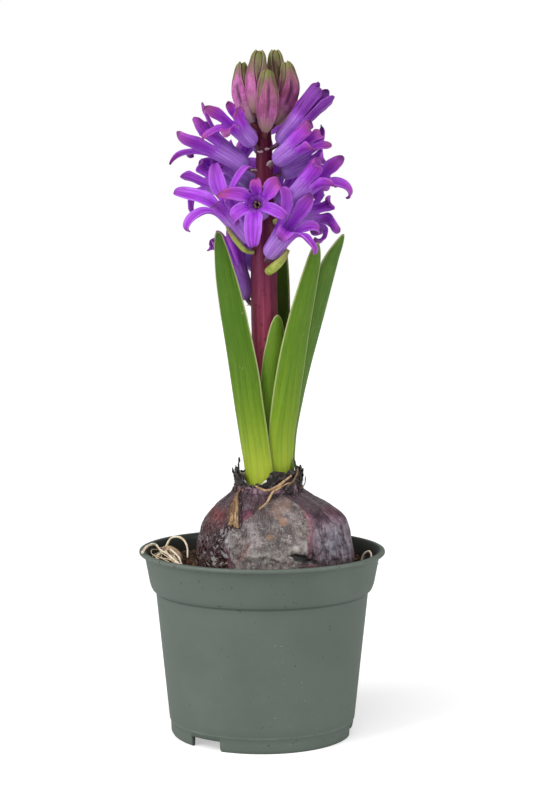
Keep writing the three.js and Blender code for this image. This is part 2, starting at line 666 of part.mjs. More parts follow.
// Dry scales round the neck: a ragged ring, with fibres and a hanging strip of old skin
// Each row: azimuth round the neck, height of the ring's ragged top edge
const neckScaleTops = [
  [-180, 95.4],
  [-130, 96.2],
  [-104, 95.2],
  [-92, 97.4],
  [-82, 95.8],
  [-70, 98.6],
  [-58, 95.4],
  [-46, 93.2],
  [-30, 92.2],
  [-12, 92.6],
  [0, 94.6],
  [14, 97.4],
  [30, 96.6],
  [44, 97.8],
  [58, 97.2],
  [72, 99],
  [86, 97],
  [100, 98],
  [120, 95.6],
  [150, 96.4],
  [180, 95.4],
];
const NECK_SCALE_THICKNESS = 0.8;

function makeNeckScales() {
  const columns = 36;
  const rows = 4;
  const points = [];
  const faces = [];
  for (let i = 0; i < columns; i++) {
    const azimuth = (360 * i) / columns - 180;
    const top = along(neckScaleTops, azimuth) + (i % 2 ? 0.35 : -0.35);
    const frill = 0.35 * Math.sin(i * 2.3);
    const ring = [
      [13.4, 90.35],
      [12.5, 91.6],
      [11.9 + 0.3 * frill, lerp(91.6, top, 0.5)],
      [11.9 + frill + 0.08 * (top - 92), top],
    ];
    for (const [radius, z] of ring) {
      const place = outward(azimuth).multiplyScalar(radius);
      points.push(vec(NECK_CENTRE_X + place.x, place.y, z));
    }
    const next = (i + 1) % columns;
    for (let row = 0; row < rows - 1; row++) {
      const [a, b, c, d] = [i * rows + row, next * rows + row, next * rows + row + 1, i * rows + row + 1];
      faces.push([a, b, c], [a, c, d]);
    }
  }
  const ring = thickSheet({ points, faces, thickness: NECK_SCALE_THICKNESS });
  const atNeck = ([azimuth, radius, z]) => {
    const place = outward(azimuth).multiplyScalar(radius);
    return vec(NECK_CENTRE_X + place.x, place.y, z);
  };
  const fibre = (path, radius) => cord(path.map(atNeck), path.map(() => radius), 5);
  const lowFibre = fibre(
    [[-9, 20.9, 85.6], [-2, 18.3, 87.6], [3, 15.4, 89.8], [8, 13.8, 91.2], [18, 13.2, 92.8], [31, 12.2, 95.2]],
    0.45,
  );
  const highFibre = fibre(
    [[-24, 12.4, 93], [-13, 13.4, 92], [-2, 13.7, 91.4], [12, 13.4, 92.6], [26, 12.8, 94.6], [40, 12.1, 96.2]],
    0.5,
  );
  return ring.add(lowFibre).add(highFibre).add(makeSkinStrip());
}

// The strip hangs down the bulb's front left and joins the ring at its top.
function makeSkinStrip() {
  const rows = [
    // height, azimuth of the middle, half width in degrees, lift off the bulb
    [90.2, -42, 6, 0.75],
    [89, -41.5, 5.4, 0.8],
    [86.6, -39, 4.8, 0.75],
    [84.6, -36, 5, 0.75],
    [82.8, -34, 4.8, 0.75],
    [81.6, -33, 4.2, 0.75],
    [80.8, -32.4, 2.4, 0.75],
  ];
  const points = [];
  const faces = [];
  rows.forEach(([z, azimuth, half, lift], row) => {
    for (const side of [-1, 0, 1]) {
      points.push(onBulb(azimuth + side * half, z, lift + (side === 0 ? 0.25 : 0)));
    }
    if (row === 0) return;
    for (const i of [0, 1]) {
      const a = (row - 1) * 3 + i;
      faces.push([a, a + 3, a + 4], [a, a + 4, a + 1]);
    }
  });
  return thickSheet({ points, faces, thickness: 0.7 });
}

// Pale papery sheath that wraps the leaves' feet, open in a V at the front left
const sheathTops = [
  [-180, 95],
  [-100, 95.6],
  [-78, 97.2],
  [-62, 95],
  [-46, 93],
  [-32, 92],
  [-18, 92.6],
  [-6, 94.6],
  [4, 96.4],
  [20, 96.6],
  [90, 95.6],
  [180, 95],
];

function makeSheath() {
  const columns = 32;
  const points = [];
  const faces = [];
  for (let i = 0; i < columns; i++) {
    const azimuth = (360 * i) / columns - 180;
    const top = along(sheathTops, azimuth);
    for (const [radius, z] of [[10.6, NECK_TOP + GAP], [10.6, lerp(NECK_TOP, top, 0.6)], [10.7, top]]) {
      const place = outward(azimuth).multiplyScalar(radius);
      points.push(vec(NECK_CENTRE_X + place.x, place.y, z));
    }
    const next = (i + 1) % columns;
    for (const row of [0, 1]) {
      const [a, b] = [i * 3 + row, next * 3 + row];
      faces.push([a, b, b + 1], [a, b + 1, a + 1]);
    }
  }
  return thickSheet({ points, faces, thickness: 0.6 });
}

// Roots that show on the potting mix: a tangle at the left that reaches over the rim, and one at the right
const rootClumpPath = [[-36.5, 9, 66.4], [-33.5, 3.5, 66.6], [-30.6, -1.5, 65.4], [-29.4, -5, 61.6]];
const rootPaths = [
  [[-34.6, 5.5, 66.6], [-35.2, -3, 67.4], [-34, -10, 67.5], [-31, -20, 67], [-27.8, -29.6, 66.2]],
  [[-43, -14.4, 69], [-41.6, -8.5, 70.2], [-39.2, -3.6, 70.2], [-37, -5.5, 68.4], [-33.8, -10.6, 67.5]],
  [[-36, 8, 66.6], [-34, 10, 70], [-31.2, 9, 70.8], [-28.9, 7, 69.8], [-27.6, 4, 67.6], [-27.4, 1, 64.4]],
  [[-35.2, -3, 67.4], [-38, -9, 66.8], [-37.2, -15.4, 66.2], [-33.4, -21.5, 66], [-29.4, -27, 65]],
  [[-33.6, 3.4, 66.8], [-33, -6, 68.4], [-30, -13, 67], [-28.6, -19, 64.6]],
];
const rightRootPath = [[36.6, 7, 61], [37.6, 6.2, 64.6], [39.4, 4.4, 66.2], [40.2, 2, 65.2], [39.8, 0.2, 63.4]];
const toPoints = (path) => path.map((place) => vec(...place));

function makeRoots(grown = 0) {
  let roots = cord(toPoints(rootClumpPath), [0.9, 1.5, 1.3, 0.7].map((r) => r + grown), 6);
  for (const path of rootPaths) {
    const curve = new THREE.CatmullRomCurve3(toPoints(path));
    const points = curve.getPoints(8);
    roots = roots.add(cord(points, points.map((_, i) => 0.55 - 0.02 * i + grown), 5));
  }
  return roots;
}

function makeRightRoot(grown = 0) {
  const points = new THREE.CatmullRomCurve3(toPoints(rightRootPath)).getPoints(6);
  return cord(points, points.map(() => 0.5 + grown), 5);
}

// Stunted buds and green bracts under the lower florets. Each: where it stands on the stem, its path, radii
const bracts = {
  club: { path: [[1.6, -3, 170], [1.7, -6.6, 169.8], [4.4, -8.4, 171.2], [7.2, -10.1, 173.9], [9.4, -11.7, 177.2]],
    radii: [1.2, 1.7, 1.6, 1.2, 0.6] },
  right: { path: [[3.6, -1.6, 187.2], [9, -4, 188.4], [14, -5.8, 191.4], [18, -7.6, 195.3]],
    radii: [0.9, 1.3, 1, 0.4] },
  left: { path: [[-2.2, -3, 176.2], [-6.2, -6.5, 177.3], [-9.6, -9.2, 181], [-12.6, -11.5, 185.4]],
    radii: [0.8, 0.95, 0.9, 0.4] },
};

function makeBract({ path, radii }, stemHole) {
  return largestBody(cord(toPoints(path), radii, 7).subtract(stemHole));
}

// Assembly
const finishes = {
  pot: { color: 0x66756c, roughness: 0.55 },
  soil: { color: 0x2c1d14, roughness: 1 },
  bulb: { color: 0x5b4657, roughness: 0.6 },
  leaf: { color: 0x5c8f31, roughness: 0.45 },
  stem: { color: 0x6e3c45, roughness: 0.5 },
  petal: { color: 0x9a48d8, roughness: 0.5 },
  bud: { color: 0xa0688c, roughness: 0.5 },
  dry: { color: 0x3a2622, roughness: 0.9 },
  sheath: { color: 0xcfc3bd, roughness: 0.5 },
  root: { color: 0xd8c6a4, roughness: 0.7 },
  bract: { color: 0x9fb04a, roughness: 0.5 },
};
const plant = new THREE.Group();

function addPiece(name, solid, finish) {
  const material = new THREE.MeshStandardMaterial({ ...finishes[finish], metalness: 0 });
  const mesh = new THREE.Mesh(geometryOf(solid), material);
  mesh.name = name;
  plant.add(mesh);
}

const stemHole = makeStem(GAP);
addPiece("pot", makePot(), "pot");
addPiece("soil", makeSoil(grownBulb(GAP), makeRoots(GAP).add(makeRightRoot(GAP))), "soil");
addPiece("bulb", makeBulb(), "bulb");
addPiece("neck_scales", makeNeckScales(), "dry");
addPiece("leaf_sheath", makeSheath(), "sheath");
addPiece("roots_left", makeRoots(), "root");
addPiece("root_right", makeRightRoot(), "root");
addPiece("stem", makeStem(), "stem");
for (const [name, rows] of Object.entries(leafRows)) addPiece(name, makeLeaf(rows), "leaf");
for (const [name, floret] of Object.entries(florets)) {
  addPiece(`floret_${name}`, makeFloret(floret, stemHole), "petal");
}
for (const [name, bract] of Object.entries(bracts)) {
  addPiece(`bract_${name}`, makeBract(bract, stemHole), "bract");
}
for (const [name, bud] of Object.entries(buds)) addPiece(`bud_${name}`, makeBud(bud, stemHole), "bud");

export default plant;
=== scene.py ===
"""A hyacinth in bloom, growing from its bulb in a round plastic nursery pot.

Lengths are in millimetres until a mesh is made, which is in metres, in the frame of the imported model.
The plant's front looks along -Y. An azimuth is in degrees from the front, positive towards +X.
"""
from math import ceil, cos, degrees, exp, hypot, pi, radians, sin, sqrt, tan

import bpy
import numpy as np
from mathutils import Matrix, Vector, noise


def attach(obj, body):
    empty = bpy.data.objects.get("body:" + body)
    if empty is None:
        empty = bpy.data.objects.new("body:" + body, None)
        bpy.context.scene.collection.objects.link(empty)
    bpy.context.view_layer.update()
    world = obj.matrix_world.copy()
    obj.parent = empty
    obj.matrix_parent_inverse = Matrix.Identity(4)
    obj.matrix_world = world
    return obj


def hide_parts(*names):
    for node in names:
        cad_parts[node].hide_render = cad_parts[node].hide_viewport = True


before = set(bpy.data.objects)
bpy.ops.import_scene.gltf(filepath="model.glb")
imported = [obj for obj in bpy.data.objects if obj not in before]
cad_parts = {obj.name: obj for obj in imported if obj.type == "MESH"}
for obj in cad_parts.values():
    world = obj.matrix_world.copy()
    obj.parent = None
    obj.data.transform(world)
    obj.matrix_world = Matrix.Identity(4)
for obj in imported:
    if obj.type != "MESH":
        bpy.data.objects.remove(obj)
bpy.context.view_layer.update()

# Driving dimensions, the same as in the part's source
MM = 0.001
POT_HEIGHT = 68
LIP_RADIUS = 45
FOOT_RADIUS = 33.4
POT_WALL = 0.9
FOOT_HEIGHT = 5.6
FLOOR_UNDERSIDE = 4.2
FLOOR_THICKNESS = 1
BAND_BOTTOM = 53
BAND_LEDGE_RADIUS = 39
NOTCH_AZIMUTHS = (-37.5, 82.5, 202.5)
NOTCH_WIDTH = 13
NOTCH_HEIGHT = 3.8
DRAIN_HOLE_RADIUS = 3
DRAIN_HOLE_REACH = 25
SOIL_LEVEL = 61.5
BULB_RADIUS = 29.4
BULB_CENTRE_X = 4.2
NECK_CENTRE_X = 2.3
NECK_TOP = 90.5
WELL_RADIUS = 9.8
WELL_FLOOR = 84
STEM_TOP = 226
LEAF_THICKNESS = 1.3
TUBE_FLARE = 12
LOBE_LENGTH = 15.5
LOBE_MAX_WIDTH = 5.8


# Curves and directions
def smooth(x):
    x = np.clip(x, 0, 1)
    return x * x * (3 - 2 * x)


def lerp(a, b, t):
    return a + (b - a) * t


def bell(x, width):
    """A bump that is 1 at 0 and fades to both sides."""
    return exp(-(x / width) ** 2)


def full_turn(count):
    """Evenly spread angles once round."""
    return np.linspace(0, 2 * pi, count, endpoint=False)


def outward(azimuth):
    turn = radians(azimuth)
    return np.array([sin(turn), -cos(turn), 0.0])


def unit(v):
    return v / max(np.linalg.norm(v), 1e-12)


def flow(knots, x):
    """The height at x of a smooth curve through the knots, which never overshoots them."""
    xs, ys = np.array(knots, float).T
    steps = np.diff(xs)
    slopes = np.diff(ys) / steps
    same_way = slopes[1:] * slopes[:-1] > 0
    total = np.where(same_way, slopes[1:] + slopes[:-1], 1)
    inner = np.where(same_way, 2 * slopes[1:] * slopes[:-1] / total, 0)
    tangents = np.concatenate([[slopes[0]], inner, [slopes[-1]]])
    i = np.clip(np.searchsorted(xs, x) - 1, 0, len(steps) - 1)
    t = np.clip((x - xs[i]) / steps[i], 0, 1)
    rise = ys[i] * (1 + 2 * t) * (1 - t) ** 2 + ys[i + 1] * t * t * (3 - 2 * t)
    lean = steps[i] * (tangents[i] * t * (1 - t) ** 2 - tangents[i + 1] * t * t * (1 - t))
    return rise + lean


def column(rows, index):
    return [(row[0], row[index]) for row in rows]


def spline(points, count):
    """Evenly spread points on a smooth curve through the given ones."""
    points = np.array(points, float)
    padded = np.vstack([2 * points[0] - points[1], points, 2 * points[-1] - points[-2]])
    dense = []
    for a, b, c, d in zip(padded, padded[1:], padded[2:], padded[3:]):
        for t in np.linspace(0, 1, 24, endpoint=False):
            dense.append(0.5 * (2 * b + (c - a) * t + (2 * a - 5 * b + 4 * c - d) * t**2
                                + (3 * b - a - 3 * c + d) * t**3))
    dense = np.vstack([dense, points[-1]])
    reach = np.concatenate([[0], np.cumsum(np.linalg.norm(np.diff(dense, axis=0), axis=1))])
    wanted = np.linspace(0, reach[-1], count)
    return np.column_stack([np.interp(wanted, reach, dense[:, k]) for k in range(3)])


def wander(place, size, seed=0.0):
    """Smooth random value at a place, mostly from -0.7 to 0.7; its features have about the given size."""
    x, y, z = (float(v) / size for v in place)
    return noise.noise(Vector((x + seed * 17.3, y - seed * 9.1, z + seed * 5.7)))


# Meshes: a shape is its points, its faces and the values that its finish reads at each point
class Shape:
    def __init__(self, points, faces, **values):
        self.points = np.asarray(points, float)
        self.faces = [tuple(int(i) for i in face) for face in faces]
        self.values = {k: np.broadcast_to(np.asarray(v, float), len(self.points)).copy() for k,
                       v in values.items()}

    def normals(self):
        total = np.zeros_like(self.points)
        for size in (3, 4):
            faces = np.array([f for f in self.faces if len(f) == size])
            if not len(faces):
                continue
            p = self.points[faces]
            if size == 3:
                normal = np.cross(p[:, 1] - p[:, 0], p[:, 2] - p[:, 0])
            else:
                normal = np.cross(p[:, 2] - p[:, 0], p[:, 3] - p[:, 1])
            for k in range(size):
                np.add.at(total, faces[:, k], normal)
        return total / np.maximum(np.linalg.norm(total, axis=1), 1e-12)[:, None]


def joined(shapes):
    names = {name for shape in shapes for name in shape.values}
    faces = []
    start = 0
    for shape in shapes:
        faces += [tuple(i + start for i in face) for face in shape.faces]
        start += len(shape.points)
    values = {
        name: np.concatenate([s.values.get(name, np.zeros(len(s.points))) for s in shapes])
        for name in names
    }
    return Shape(np.vstack([s.points for s in shapes]), faces, **values)


def grid_faces(rows, columns, closed=False):
    """Quads between rows of points. Seen from outside, the points run to the right and the rows go up."""
    faces = []
    for row in range(rows - 1):
        for i in range(columns if closed else columns - 1):
            a = row * columns + i
            b = row * columns + (i + 1) % columns
            faces.append((a, b, b + columns, a + columns))
    return faces


def loft(rings, start, end, **values):
    """A closed body from rings, anticlockwise seen from the end; values are per ring or per point."""
    rings = np.asarray(rings, float)
    count, sides = rings.shape[:2]
    points = np.vstack([rings.reshape(-1, 3), start, end])
    faces = grid_faces(count, sides, closed=True)
    first, last = count * sides, count * sides + 1
    for i in range(sides):
        j = (i + 1) % sides
        faces.append((first, j, i))
        faces.append((last, (count - 1) * sides + i, (count - 1) * sides + j))
    spread = {}
    for name, value in values.items():
        value = np.asarray(value, float)
        body = np.repeat(value, sides) if value.shape == (count,) else value.reshape(-1)
        spread[name] = np.concatenate([body, [body[0], body[-1]]])
    return Shape(points, faces, **spread)


def tube(path, radii, sides, **values):
    """A round cord along the path, with a radius for each of its points."""
    path = np.asarray(path, float)
    tangents = np.gradient(path, axis=0)
    tangents /= np.maximum(np.linalg.norm(tangents, axis=1), 1e-12)[:, None]
    side = unit(np.cross(tangents[0], [0.3, 0.2, 0.93]))
    turns = full_turn(sides)
    rings = []
    for point, tangent, radius in zip(path, tangents, radii):
        side = unit(side - tangent * side.dot(tangent))
        other = np.cross(tangent, side)
        rings.append([point + radius * (cos(t) * side + sin(t) * other) for t in turns])
    return loft(rings, path[0], path[-1], **values)


def thick_sheet(sheet, thickness):
    """Thickens a sheet, half to each side. The value back is 1 on the side away from its normals."""
    count = len(sheet.points)
    shift = sheet.normals() * np.broadcast_to(thickness, count)[:, None] / 2
    faces = list(sheet.faces)
    border = {}
    for face in sheet.faces:
        faces.append(tuple(i + count for i in reversed(face)))
        for i, j in zip(face, face[1:] + face[:1]):
            if (j, i) in border:
                del border[(j, i)]
            else:
                border[(i, j)] = True
    faces += [(j, i, i + count, j + count) for i, j in border]
    values = {name: np.tile(value, 2) for name, value in sheet.values.items()}
    values["back"] = np.repeat([0.0, 1.0], count)
    return Shape(np.vstack([sheet.points + shift, sheet.points - shift]), faces, **values)


def raw_object(name, shape, material=None):
    mesh = bpy.data.meshes.new(name)
    mesh.from_pydata((shape.points * MM).tolist(), [], shape.faces)
    for label, value in shape.values.items():
        mesh.attributes.new(label, "FLOAT", "POINT").data.foreach_set("value", value.astype(np.float32))
    mesh.shade_smooth()
    obj = bpy.data.objects.new(name, mesh)
    bpy.context.scene.collection.objects.link(obj)
    if material:
        mesh.materials.append(material)
    return obj


def register(obj, slot, *nodes):
    """Ties a finished piece to the plant's one body and hides the CAD nodes that it stands for. The slot,
    its finish, is not used.
    """
    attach(obj, "root")
    if nodes:
        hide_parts(*nodes)
    return obj


def piece(name, shape, material, slot, *nodes):
    return register(raw_object(name, shape, material), slot, *nodes)


def made_plain(obj, name):
    """The object's shape with its modifiers applied, as a new plain object; the old one goes."""
    depsgraph = bpy.context.evaluated_depsgraph_get()
    mesh = bpy.data.meshes.new_from_object(obj.evaluated_get(depsgraph), depsgraph=depsgraph)
    mesh.name = name
    bpy.data.objects.remove(obj)
    plain = bpy.data.objects.new(name, mesh)
    bpy.context.scene.collection.objects.link(plain)
    return plain


# Finishes: a Finish adds nodes to its material and gives back their outputs
class Finish:
    def __init__(self, name):
        self.material = bpy.data.materials.new(name)
        self.material.use_nodes = True
        self.tree = self.material.node_tree
        self.shader = next(n for n in self.tree.nodes if n.type == "BSDF_PRINCIPLED")
        self.colour = None

    def node(self, kind, **settings):
        node = self.tree.nodes.new(kind)
        for name, value in settings.items():
            setattr(node, name, value)
        return node

    def put(self, socket, value):
        if isinstance(value, bpy.types.NodeSocket):
            self.tree.links.new(value, socket)
        elif isinstance(value, (tuple, list)) and len(value) == 3 and socket.type == "RGBA":
            socket.default_value = (*value, 1)
        else:
            socket.default_value = value

    def value(self, name):
        return self.node("ShaderNodeAttribute", attribute_name=name).outputs["Fac"]

    def place(self):
        return self.node("ShaderNodeTexCoord").outputs["Object"]

    def stretched(self, vector, scale):
        node = self.node("ShaderNodeMapping")
        self.put(node.inputs["Vector"], vector)
        node.inputs["Scale"].default_value = scale
        return node.outputs["Vector"]

    def combined(self, x, y, z):
        node = self.node("ShaderNodeCombineXYZ")
        for socket, value in zip(node.inputs, (x, y, z)):
            self.put(socket, value)
        return node.outputs["Vector"]

    def axis(self, index):
        node = self.node("ShaderNodeSeparateXYZ")
        self.put(node.inputs[0], self.place())
        return node.outputs[index]

    def grain(self, vector, scale, detail=3.0, roughness=0.55, distortion=0.0):
        node = self.node("ShaderNodeTexNoise")
        self.put(node.inputs["Vector"], vector)
        for name, value in (("Scale", scale), ("Detail", detail), ("Roughness", roughness),
                            ("Distortion", distortion)):
            node.inputs[name].default_value = value
        return node.outputs["Fac"]

    def between(self, value, low, high, out_low=0.0, out_high=1.0):
        """Runs smoothly from out_low to out_high while the value goes from low to high."""
        node = self.node("ShaderNodeMapRange", interpolation_type="SMOOTHSTEP")
        for socket, number in zip(node.inputs, (value, low, high, out_low, out_high)):
            self.put(socket, number)
        return node.outputs["Result"]

    def maths(self, operation, a, b=0.0):
        node = self.node("ShaderNodeMath", operation=operation)
        self.put(node.inputs[0], a)
        self.put(node.inputs[1], b)
        return node.outputs[0]

    def plus(self, a, b):
        return self.maths("ADD", a, b)

    def minus(self, a, b):
        return self.maths("SUBTRACT", a, b)

    def times(self, a, b):
        return self.maths("MULTIPLY", a, b)

    def blend(self, a, share_a, b, share_b):
        return self.plus(self.times(a, share_a), self.times(b, share_b))

    def mix(self, amount, a, b):
        node = self.node("ShaderNodeMix", data_type="RGBA")
        self.put(node.inputs[0], amount)
        self.put(node.inputs[6], a)
        self.put(node.inputs[7], b)
        return node.outputs[2]

    def ramp(self, value, low, high, first, last):
        """From the first colour to the last one while the value goes from low to high."""
        return self.mix(self.between(value, low, high), first, last)

    def coat(self, tint, amount, strength=None):
        """Lays a tint over the colour so far, by the amount times the strength."""
        if strength is not None:
            amount = self.times(amount, strength)
        self.colour = self.mix(amount, self.colour, tint)

    def bump(self, height, strength, distance, under=None):
        node = self.node("ShaderNodeBump")
        self.put(node.inputs["Height"], height)
        node.inputs["Strength"].default_value = strength
        node.inputs["Distance"].default_value = distance
        if under is not None:
            self.put(node.inputs["Normal"], under)
        return node.outputs["Normal"]

    def done(self, roughness, normal=None, **sockets):
        self.put(self.shader.inputs["Base Color"], self.colour)
        self.put(self.shader.inputs["Roughness"], roughness)
        if normal is not None:
            self.put(self.shader.inputs["Normal"], normal)
        for name, value in sockets.items():
            self.put(self.shader.inputs[name.replace("_", " ")], value)
        return self.material


def soft_tissue(radius, scale):
    """Shader values for light that soaks into living tissue."""
    return {"Subsurface_Weight": 0.22, "Subsurface_Radius": radius, "Subsurface_Scale": scale}


# Pot
def near(radius, height, offsets):
    """Points of an outline, each given by its offset from one corner."""
    return [(radius + r, height + z) for r, z in offsets]


POT_OUTSIDE = (
    near(FOOT_RADIUS, 0, [(-1.7, 0.1), (-1.5, 0), (-0.7, 0), (-0.5, 0.15), (0.05, 1.0), (0.12, 1.3)])
    + near(FOOT_RADIUS, FOOT_HEIGHT, [(0.3, -0.15), (0.55, 0.05), (0.72, 0.3)])
    + near(BAND_LEDGE_RADIUS, BAND_BOTTOM, [
        (-0.08, -0.6), (0.1, -0.05), (0.6, 0.25), (1.25, 0.85), (1.75, 1.9), (2.2, 3.4)])
    + near(LIP_RADIUS, POT_HEIGHT, [
        (-2.25, -3.4), (-1.85, -2.2), (-1.0, -1.62), (-0.3, -1.35), (-0.02, -1.05), (0, -0.5),
        (-0.12, -0.18), (-0.4, 0), (-1.2, 0.02), (-2.1, -0.05), (-2.5, -0.4)])
)
POT_INSIDE = [
    (LIP_RADIUS - 3.1, POT_HEIGHT - 2), (BAND_LEDGE_RADIUS + 1.1, BAND_BOTTOM + 3.4),
    (BAND_LEDGE_RADIUS - POT_WALL, BAND_BOTTOM), (FOOT_RADIUS - 0.4, FLOOR_UNDERSIDE + FLOOR_THICKNESS),
    (4, FLOOR_UNDERSIDE + FLOOR_THICKNESS),
]
POT_UNDERSIDE = [(4, FLOOR_UNDERSIDE), (FOOT_RADIUS - 1.9, FLOOR_UNDERSIDE)]


def pot_inner_radius(z):
    knots = sorted((z, r) for r, z in POT_INSIDE[:4])
    return float(np.interp(z, *zip(*knots)))


def subdivided(profile, longest):
    fine = [profile[0]]
    for (r0, z0), (r1, z1) in zip(profile, profile[1:]):
        count = max(1, ceil(hypot(r1 - r0, z1 - z0) / longest))
        fine += [(lerp(r0, r1, k / count), lerp(z0, z1, k / count)) for k in range(1, count + 1)]
    return fine


def cylinder_cutter(x, y, radius, low, high, sides=24):
    turns = full_turn(sides)
    rings = [[(x + radius * cos(t), y + radius * sin(t), z) for t in turns] for z in (low, high)]
    return loft(rings, (x, y, low), (x, y, high))


def notch_cutter(azimuth):
    middle = outward(azimuth)
    side = np.array([middle[1], -middle[0], 0])
    half = NOTCH_WIDTH / 2
    corners = [(-half, -4), (-half, 4), (half, 4), (half, -4)]
    turns = [FOOT_RADIUS * middle - a * side + b * middle for a, b in corners]
    rings = [[p + (0, 0, z) for p in turns] for z in (-NOTCH_HEIGHT, NOTCH_HEIGHT)]
    centre = FOOT_RADIUS * middle
    return loft(rings, centre - (0, 0, NOTCH_HEIGHT), centre + (0, 0, NOTCH_HEIGHT))


def make_pot(material):
    longest, sides = 3.2, 176
    profile = subdivided(POT_UNDERSIDE + POT_OUTSIDE + POT_INSIDE, longest)
    inside_from = len(subdivided(POT_UNDERSIDE + POT_OUTSIDE, longest)) - 2
    turns = full_turn(sides)
    points = [(r * cos(t), r * sin(t), z) for r, z in profile for t in turns]
    faces = grid_faces(len(profile), sides, closed=True)
    # The drain hole in the middle joins the floor's two sides.
    last = (len(profile) - 1) * sides
    faces += [(last + i, last + (i + 1) % sides, (i + 1) % sides, i) for i in range(sides)]
    # inside marks the inner wall, which the finish paints darker as shade
    inside = np.repeat([1.0 if k >= inside_from else 0.0 for k in range(len(profile))], sides)
    pot = raw_object("pot_body", Shape(points, faces, inside=inside), material)
    holes = [outward(a) * DRAIN_HOLE_REACH for a in NOTCH_AZIMUTHS]
    cutters = [notch_cutter(a) for a in NOTCH_AZIMUTHS]
    cutters += [cylinder_cutter(x, y, DRAIN_HOLE_RADIUS, 2, 8) for x, y, _ in holes]
    cutter = raw_object("pot_cutter", joined(cutters))
    cut = pot.modifiers.new("openings", "BOOLEAN")
    cut.operation = "DIFFERENCE"
    cut.object = cutter
    cut.solver = "EXACT"
    plain = made_plain(pot, "pot_moulding")
    bpy.data.objects.remove(cutter)
    return register(plain, "pot", "pot")


def pot_plastic():
    f = Finish("grey_green_plastic")
    place = f.place()
    height = f.axis(2)
    cloudy = f.grain(place, 38, 3, 0.6)
    f.colour = f.ramp(cloudy, 0.3, 0.7, (0.096, 0.122, 0.101), (0.112, 0.141, 0.117))
    # A paler line along the lip, broken up by noise: a painted highlight
    lip = f.between(height, 0.0664, 0.0676)
    worn = f.times(lip, f.between(f.grain(place, 420, 3), 0.3, 0.75, 0.35, 1.0))
    f.coat((0.24, 0.27, 0.24), worn, 0.16)
    # Fine pale scuffs and brown specks of dried mix
    scuffs = f.between(f.grain(f.stretched(place, (1, 1, 1.6)), 950, 1, 0.4), 0.755, 0.785)
    scuffs = f.times(scuffs, f.between(f.grain(place, 40, 2), 0.48, 0.62))
    f.coat((0.34, 0.37, 0.33), scuffs, 0.6)
    higher = f.times(f.between(height, 0.052, 0.064), 0.06)
    dirty = f.between(f.plus(f.grain(place, 90, 2), higher), 0.50, 0.66)
    specks = f.times(f.between(f.grain(place, 620, 2, 0.5), 0.66, 0.71), dirty)
    f.coat((0.060, 0.036, 0.022), specks, 0.8)
    # A painted shadow line under the band, and a painted highlight on the edge of the foot
    step = BAND_BOTTOM * MM
    under = f.times(f.between(height, step - 0.0009, step - 0.0002),
                    f.between(height, step, step + 0.0005, 1.0, 0.0))
    f.coat((0.040, 0.050, 0.042), under, 0.6)
    foot = FOOT_HEIGHT * MM
    rim = f.times(f.between(height, foot - 0.0004, foot),
                  f.between(height, foot + 0.0002, foot + 0.0007, 1.0, 0.0))
    rim = f.times(rim, f.between(f.grain(place, 150, 3), 0.35, 0.65, 0.3, 1.0))
    f.coat((0.24, 0.28, 0.245), rim, 0.5)
    # The inner wall is painted darker as shade, with dust from the mix
    inside = f.value("inside")
    dust = f.between(f.grain(place, 260, 4, 0.65), 0.42, 0.66)
    inner = f.mix(f.times(dust, 0.8), (0.026, 0.034, 0.029), (0.044, 0.027, 0.018))
    f.coat(inner, inside)
    fine = f.bump(f.grain(place, 3200, 2), 0.12, 0.0002)
    rings = f.bump(f.grain(f.stretched(place, (0.02, 0.02, 1)), 420, 2), 0.18, 0.00025, fine)
    return f.done(f.between(cloudy, 0.3, 0.7, 0.5, 0.6), rings, Specular_IOR_Level=0.38)


# Potting mix
def soil_height(x, y):
    lumps = sin(x * 0.55 + 1.3) * cos(y * 0.6) + 0.6 * sin(x * 0.9 - y * 1.1)
    heap = 1.6 * exp(-((x + 30) ** 2 + (y + 6) ** 2) / 90)
    return SOIL_LEVEL + 0.55 * lumps + heap


def make_soil(material):
    rings = []
    sectors = 120
    turns = full_turn(sectors)
    for z in (FLOOR_UNDERSIDE + FLOOR_THICKNESS + 0.3, 30, BAND_BOTTOM):
        radius = pot_inner_radius(z) - 0.5
        rings.append([(radius * cos(t), radius * sin(t), z) for t in turns])
    top_from = len(rings)
    edge = pot_inner_radius(SOIL_LEVEL) - 0.45
    radii = np.concatenate([[edge], np.linspace(edge - 0.6, 22, 26)])
    for radius in radii:
        ring = []
        for t in turns:
            x, y = radius * cos(t), radius * sin(t)
            rough = 1.1 * wander((x, y, 0), 3.2) + 0.6 * wander((x, y, 9), 1.2)
            ring.append((x, y, soil_height(x, y) + rough))
        rings.append(ring)
    body = loft(rings, (0, 0, FLOOR_UNDERSIDE + FLOOR_THICKNESS + 0.3), (0, 0, SOIL_LEVEL),
                tone=np.full(len(rings), 0.35))
    piece("soil_bed", body, material, "soil", "soil")
    top = np.array(rings[top_from:]).reshape(-1, 3)
    return Shape(top, grid_faces(len(rings) - top_from, sectors, closed=True))


def potting_mix():
    f = Finish("potting_mix")
    place = f.place()
    tone = f.value("tone")
    shade = f.blend(tone, 0.75, f.grain(place, 900, 4, 0.7), 0.5)
    f.colour = f.ramp(shade, 0.2, 0.62, (0.016, 0.0095, 0.0065), (0.075, 0.036, 0.021))
    f.coat((0.21, 0.12, 0.068), f.between(shade, 0.72, 1.0))
    return f.done(0.88, f.bump(f.grain(place, 1800, 4, 0.7), 0.6, 0.0004), Specular_IOR_Level=0.25)


